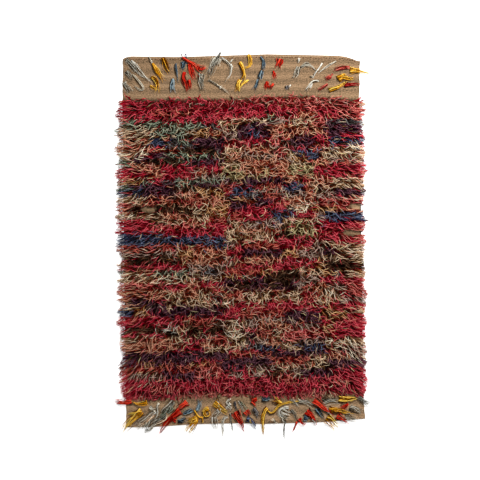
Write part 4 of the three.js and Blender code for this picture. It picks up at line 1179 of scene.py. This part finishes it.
# The near end's tufts, in the same way. These start at their thick end and thin out to pale tips
# towards the edge.
NEAR_TUFTS = (
    (1, "red", 18, 12, 0.1, (-556, -800), (-588, -806), (-616, -802), (-648, -800)),
    (0, "red", 8, 4, 0.2, (-580, -804), (-610, -812), (-636, -812)),
    (0, "yellow", 13, 4, 0.1, (-478, -804), (-504, -812), (-530, -816), (-552, -800)),
    (2, "yellow", 30, 26, 0.5, (-502, -848), (-536, -872), (-564, -904), (-600, -948)),
    (0, "yellow", 8, 6, 0.3, (-512, -848), (-544, -856), (-572, -866)),
    (0, "white", 10, 16, 0, (-470, -830), (-452, -838), (-437, -849)),
    (3, "white", 8, 9, 0, (-420, -806), (-434, -826), (-424, -852), (-436, -880), (-454, -894)),
    (4, "white", 13, 22, 0, (-436, -846), (-474, -876), (-508, -900), (-542, -932)),
    (0, "grey", 12, 34, 0.5, (-470, -890), (-484, -920), (-492, -944)),
    (0, "cream", 4, 6, 0, (-388, -853), (-376, -876), (-392, -898), (-426, -903), (-450, -919),
     (-465, -938)),
    (0, "grey", 4, 7, 0.3, (-450, -930), (-465, -946), (-488, -942), (-492, -958)),
    (0, "sage", 20, 26, 0, (-352, -826), (-384, -856), (-430, -886)),
    (0, "grey", 18, 12, 0, (-346, -798), (-376, -822), (-402, -846), (-404, -876)),
    (0, "grey", 14, 10, 0.3, (-352, -812), (-372, -846), (-396, -882)),
    (0, "grey", 20, 22, 0.4, (-384, -868), (-416, -892), (-456, -906), (-486, -926)),
    (0, "cream", 9, 12, 0.3, (-448, -866), (-476, -890), (-504, -912), (-524, -930)),
    (5, "grey", 10, 8, 0.3, (-404, -886), (-440, -910), (-462, -930), (-486, -950)),
    (6, "red", 26, 14, 0, (-282, -800), (-304, -820), (-334, -840)),
    (7, "red", 26, 8, 0.2, (-312, -846), (-344, -872), (-380, -898), (-424, -966)),
    (0, "red", 16, 10, 0, (-336, -898), (-356, -894)),
    (0, "blue", 6, 14, 0.1, (-302, -864), (-274, -850), (-256, -842)),
    (0, "blue", 8, 8, 0, (-286, -856), (-266, -856), (-252, -850)),
    (0, "blue", 8, 16, 0, (-328, -900), (-306, -896), (-286, -888)),
    (0, "blue", 8, 12, 0, (-234, -850), (-220, -824), (-214, -798)),
    (8, "yellow", 14, 12, 0, (-170, -838), (-190, -842), (-199, -858), (-186, -876), (-166, -868),
     (-172, -852)),
    (0, "yellow", 4, 4, 0.2, (-246, -842), (-232, -872), (-208, -884), (-188, -866)),
    (9, "yellow", 8, 36, 0.6, (-226, -884), (-248, -914), (-278, -958)),
    (0, "yellow", 16, 10, 0, (-228, -884), (-250, -888), (-278, -896)),
    (0, "yellow", 3, 3, 0.3, (-204, -880), (-202, -906)),
    (10, "yellow", 18, 14, 0.25, (-148, -804), (-116, -824), (-80, -858)),
    (28, "white", 9, 11, 0, (-62, -786), (-86, -806), (-66, -822), (-58, -838), (-80, -848)),
    (0, "white", 16, 14, 0, (-122, -834), (-120, -852), (-140, -868), (-154, -886)),
    (0, "white", 14, 24, 0, (-148, -876), (-146, -904), (-144, -944)),
    (0, "white", 10, 8, 0, (-62, -812), (-76, -824), (-90, -846)),
    (11, "white", 9, 5, 0, (-74, -880), (-92, -874), (-106, -896), (-104, -930), (-101, -984)),
    (0, "grey", 8, 4, 0, (-64, -856), (-62, -900), (-52, -950)),
    (0, "grey", 8, 10, 0.1, (-130, -800), (-124, -818), (-118, -836)),
    (0, "slate", 6, 8, 0.2, (-44, -800), (-40, -822), (-34, -846)),
    (12, "red", 26, 6, 0.15, (-42, -850), (-24, -882), (-6, -914), (4, -950)),
    (0, "grey", 8, 6, 0.1, (-22, -796), (-8, -824), (4, -856)),
    (0, "sage", 6, 8, 0.2, (-16, -804), (4, -822), (22, -840)),
    (0, "red", 22, 22, 0, (10, -848), (20, -862), (26, -874)),
    (13, "navy", 22, 6, 0.25, (14, -884), (40, -894), (52, -912), (62, -936)),
    (0, "red", 10, 30, 0, (68, -786), (50, -790), (38, -798)),
    (0, "red", 12, 6, 0.1, (42, -800), (52, -812), (62, -822)),
    (0, "slate", 12, 12, 0.2, (52, -832), (68, -858), (80, -886)),
    (14, "yellow", 16, 6, 0.4, (124, -832), (104, -848), (97, -880), (98, -920), (99, -962)),
    (15, "yellow", 8, 6, 0.2, (120, -842), (136, -868), (156, -858), (164, -830), (186, -811),
     (232, -802), (262, -800)),
    (16, "yellow", 10, 30, 0, (192, -808), (168, -797), (150, -784)),
    (0, "blue", 12, 14, 0.1, (92, -792), (112, -790), (138, -790)),
    (29, "white", 10, 12, 0, (230, -834), (200, -828), (178, -844), (174, -868), (194, -884),
     (222, -880)),
    (0, "white", 5, 6, 0, (190, -840), (212, -844), (238, -862)),
    (0, "white", 5, 6, 0, (188, -852), (204, -862), (230, -870)),
    (0, "grey", 6, 6, 0, (184, -862), (200, -876), (222, -880)),
    (0, "grey", 12, 16, 0.1, (196, -884), (202, -898), (206, -912)),
    (0, "cream", 9, 10, 0, (138, -888), (146, -902)),
    (0, "white", 6, 7, 0, (146, -888), (158, -900), (172, -914)),
    (0, "grey", 10, 7, 0, (238, -840), (258, -866), (268, -896)),
    (17, "grey", 6, 6, 0.1, (210, -894), (204, -930), (203, -988)),
    (18, "grey", 18, 12, 0.3, (270, -796), (308, -800), (334, -812), (356, -830)),
    (0, "red", 6, 4, 0.15, (268, -900), (258, -926), (248, -952)),
    (0, "red", 12, 5, 0, (276, -886), (292, -912), (312, -918)),
    (20, "red", 28, 7, 0.1, (312, -848), (342, -874), (364, -922)),
    (0, "blue", 14, 18, 0.2, (302, -880), (312, -884), (324, -892)),
    (21, "blue", 14, 14, 0.15, (362, -834), (380, -858), (400, -882)),
    (19, "red", 28, 7, 0.05, (348, -794), (392, -828), (440, -862)),
    (0, "grey", 22, 16, 0.3, (392, -804), (430, -792), (474, -800)),
    (0, "grey", 10, 6, 0.2, (236, -792), (260, -808), (276, -826)),
    (0, "grey", 10, 8, 0.1, (404, -838), (424, -856), (440, -876)),
    (0, "yellow", 6, 5, 0, (30, -888), (36, -900), (42, -908)),
    (0, "grey", 8, 12, 0.3, (340, -884), (352, -896), (370, -910)),
    (22, "yellow", 26, 10, 0.05, (474, -784), (514, -790), (562, -786)),
    (23, "yellow", 24, 8, 0.15, (424, -842), (476, -848), (534, -862)),
    (0, "red", 6, 18, 0, (524, -812), (502, -826), (484, -832)),
    (0, "grey", 16, 20, 0.5, (530, -828), (558, -840), (592, -860)),
    (27, "grey", 12, 14, 0.1, (570, -780), (596, -804), (630, -832)),
    (0, "grey", 6, 10, 0.1, (584, -784), (608, -800), (632, -806)),
    (25, "red", 24, 6, 0.1, (464, -872), (490, -888), (520, -910)),
    (26, "grey", 20, 14, 0.3, (506, -874), (538, -884), (570, -896)),
    (24, "yellow", 24, 22, 0.55, (412, -882), (434, -896), (468, -936)),
)


def through(places, shares):
    """Points at shares of the length of a rounded line through the places: the straight line,
    averaged over about a sixth of its length."""
    places = np.array(places) * MM
    gone = np.concatenate([[0], np.cumsum(np.linalg.norm(np.diff(places, axis=0), axis=1))])
    near = np.clip(shares[None, :] + np.linspace(-0.09, 0.09, 9)[:, None], 0, 1) * gone[-1]
    return np.stack([np.interp(near, gone, places[:, axis]).mean(axis=0) for axis in (0, 1)], axis=-1)


def strand_lanes(strands, spread, rng):
    """Where the strands run side by side, from -1 to 1: the upper ones, then the lower ones
    between them, which spread out by a factor, then the loose fibres."""
    upper = (np.arange(strands) + 0.5) / strands
    lane = np.concatenate([upper, np.arange(strands + 1) / strands])
    lane = (lane * 2 - 1) * np.repeat((1, spread), (strands, strands + 1))
    lane = lane + rng.uniform(-0.3, 0.3, len(lane)) / strands
    return np.concatenate([lane, rng.uniform(-1.8, 1.8, LOOSE_FIBRES)])


def tuft_strands(dye, first_width, last_width, pale, places, spread, light_between, rng):
    """The route, heading, radius, tone and shade of a tuft's strands. All wander to the sides and
    arch up a little from the cloth. Past its edge they sink to the floor."""
    thin = dye in THIN_WOOLS
    apart, *radii = THIN_STRANDS if thin else THICK_STRANDS
    strands = max(1, round(max(first_width, last_width) / apart))
    total = 2 * strands + 1 + LOOSE_FIBRES
    lower = (np.arange(total) >= strands) & (np.arange(total) <= 2 * strands)
    loose = np.arange(total) > 2 * strands
    shares = np.linspace(0, 1, TUFT_RINGS)
    line = through(places, shares)
    ahead = np.gradient(line, axis=0)
    heading = np.unwrap(np.arctan2(ahead[:, 1], ahead[:, 0]))
    aside = np.stack([-np.sin(heading), np.cos(heading)], axis=-1)

    radius = rng.uniform(*radii, total) * np.where(loose, 0.5, 1)
    radius = radius[:, None] * (1.1 - 0.7 * shares ** 1.5)[None, :]
    width = TUFT_FULLNESS * (first_width + (last_width - first_width) * shares) * MM
    lane = strand_lanes(strands, spread, rng)[:, None] * np.maximum(width / 2 - 1.2 * MM, 0.6 * MM)
    turns = rng.uniform(0.5, 1.5, (total, 1))
    phase = rng.uniform(0, 2 * math.pi, (total, 1))
    sway = np.where(loose, FIBRE_SWAY, THIN_SWAY if thin else THICK_SWAY)[:, None] * MM
    sway = sway + 0.08 * width[None, :]
    offset = lane + sway * np.sin(2 * math.pi * turns * shares[None, :] + phase)
    stop = np.where(loose, rng.uniform(*FIBRE_ENDS, total), rng.uniform(*STRAND_ENDS, total))
    reach = shares[None, :] * stop[:, None]
    flat = np.stack([np.interp(reach, shares, line[:, axis]) for axis in (0, 1)], axis=-1)
    beyond = np.maximum(reach - 1, 0)[:, :, None]
    flat = flat + offset[:, :, None] * aside[None] + beyond * ahead[-1] * (TUFT_RINGS - 1)

    x, y = flat[:, :, 0], flat[:, :, 1]
    sunk = np.clip(-np.minimum(from_side(x, y), from_end(x, y)) / TUFT_DROP, 0, 1)
    arch = TUFT_ARCH * rng.uniform(0.1, 1, (total, 1)) * np.sin(np.pi * shares[None, :])
    level = np.where(lower, 0, rng.uniform(0.4, 1, total))[:, None]
    z = (cloth_top(x, y) + TUFT_LIFT) * (1 - sunk) + FLOOR_CLEARANCE * sunk + radius + arch
    z = z + TUFT_STACK * level
    scatter = (0.4 if thin else 0.3) * rng.normal(0, 1, (total, 1))
    # Painted light: the higher a strand lies, the lighter it is made.
    tone = TUFT_TONE + UPPER_STRAND_PAINTED_LIGHT * level + scatter
    tone = tone + pale * smooth(0.35, 1.0, shares)[None, :]
    # Painted shade: the lower strands take light_between, and stand both for lower strands and for the
    # shadows between and beside the upper ones.
    shade = np.where(lower, light_between, 1)[:, None] * np.ones(TUFT_RINGS)
    return np.stack([x, y, z], axis=-1), np.tile(heading, (total, 1)), radius, tone, shade


def make_tufts(end, rows, spread, light_between, rng):
    """The tufts of one end, joined into one piece for each wool."""
    bunches = {}
    nodes = {}
    for number, dye, first_width, last_width, pale, *places in rows:
        strands = tuft_strands(dye, first_width, last_width, pale, places, spread, light_between, rng)
        bunches.setdefault(dye, []).append(strands)
        if number:
            nodes.setdefault(dye, []).append(f"tuft_{end}_{number:02d}")
    made = []
    for dye, bunch in bunches.items():
        piece = yarn_piece(f"tufts_{end}_{dye}", dye, *(np.concatenate(part) for part in zip(*bunch)))
        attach(piece, "root")
        for node in nodes.get(dye, []):
            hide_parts(node)
        made.append(piece)
    return made


# The near end's tufts are tangled; their lower strands spread wider and lie in deeper painted shade, so
# that they stand for the dark shadows around the tufts there.
tuft_rng = np.random.default_rng(TUFT_SEED)
tuft_pieces = [*make_tufts("far", FAR_TUFTS, 1.0, 0.35, tuft_rng),
               *make_tufts("near", NEAR_TUFTS, 1.35, 0.05, tuft_rng)]
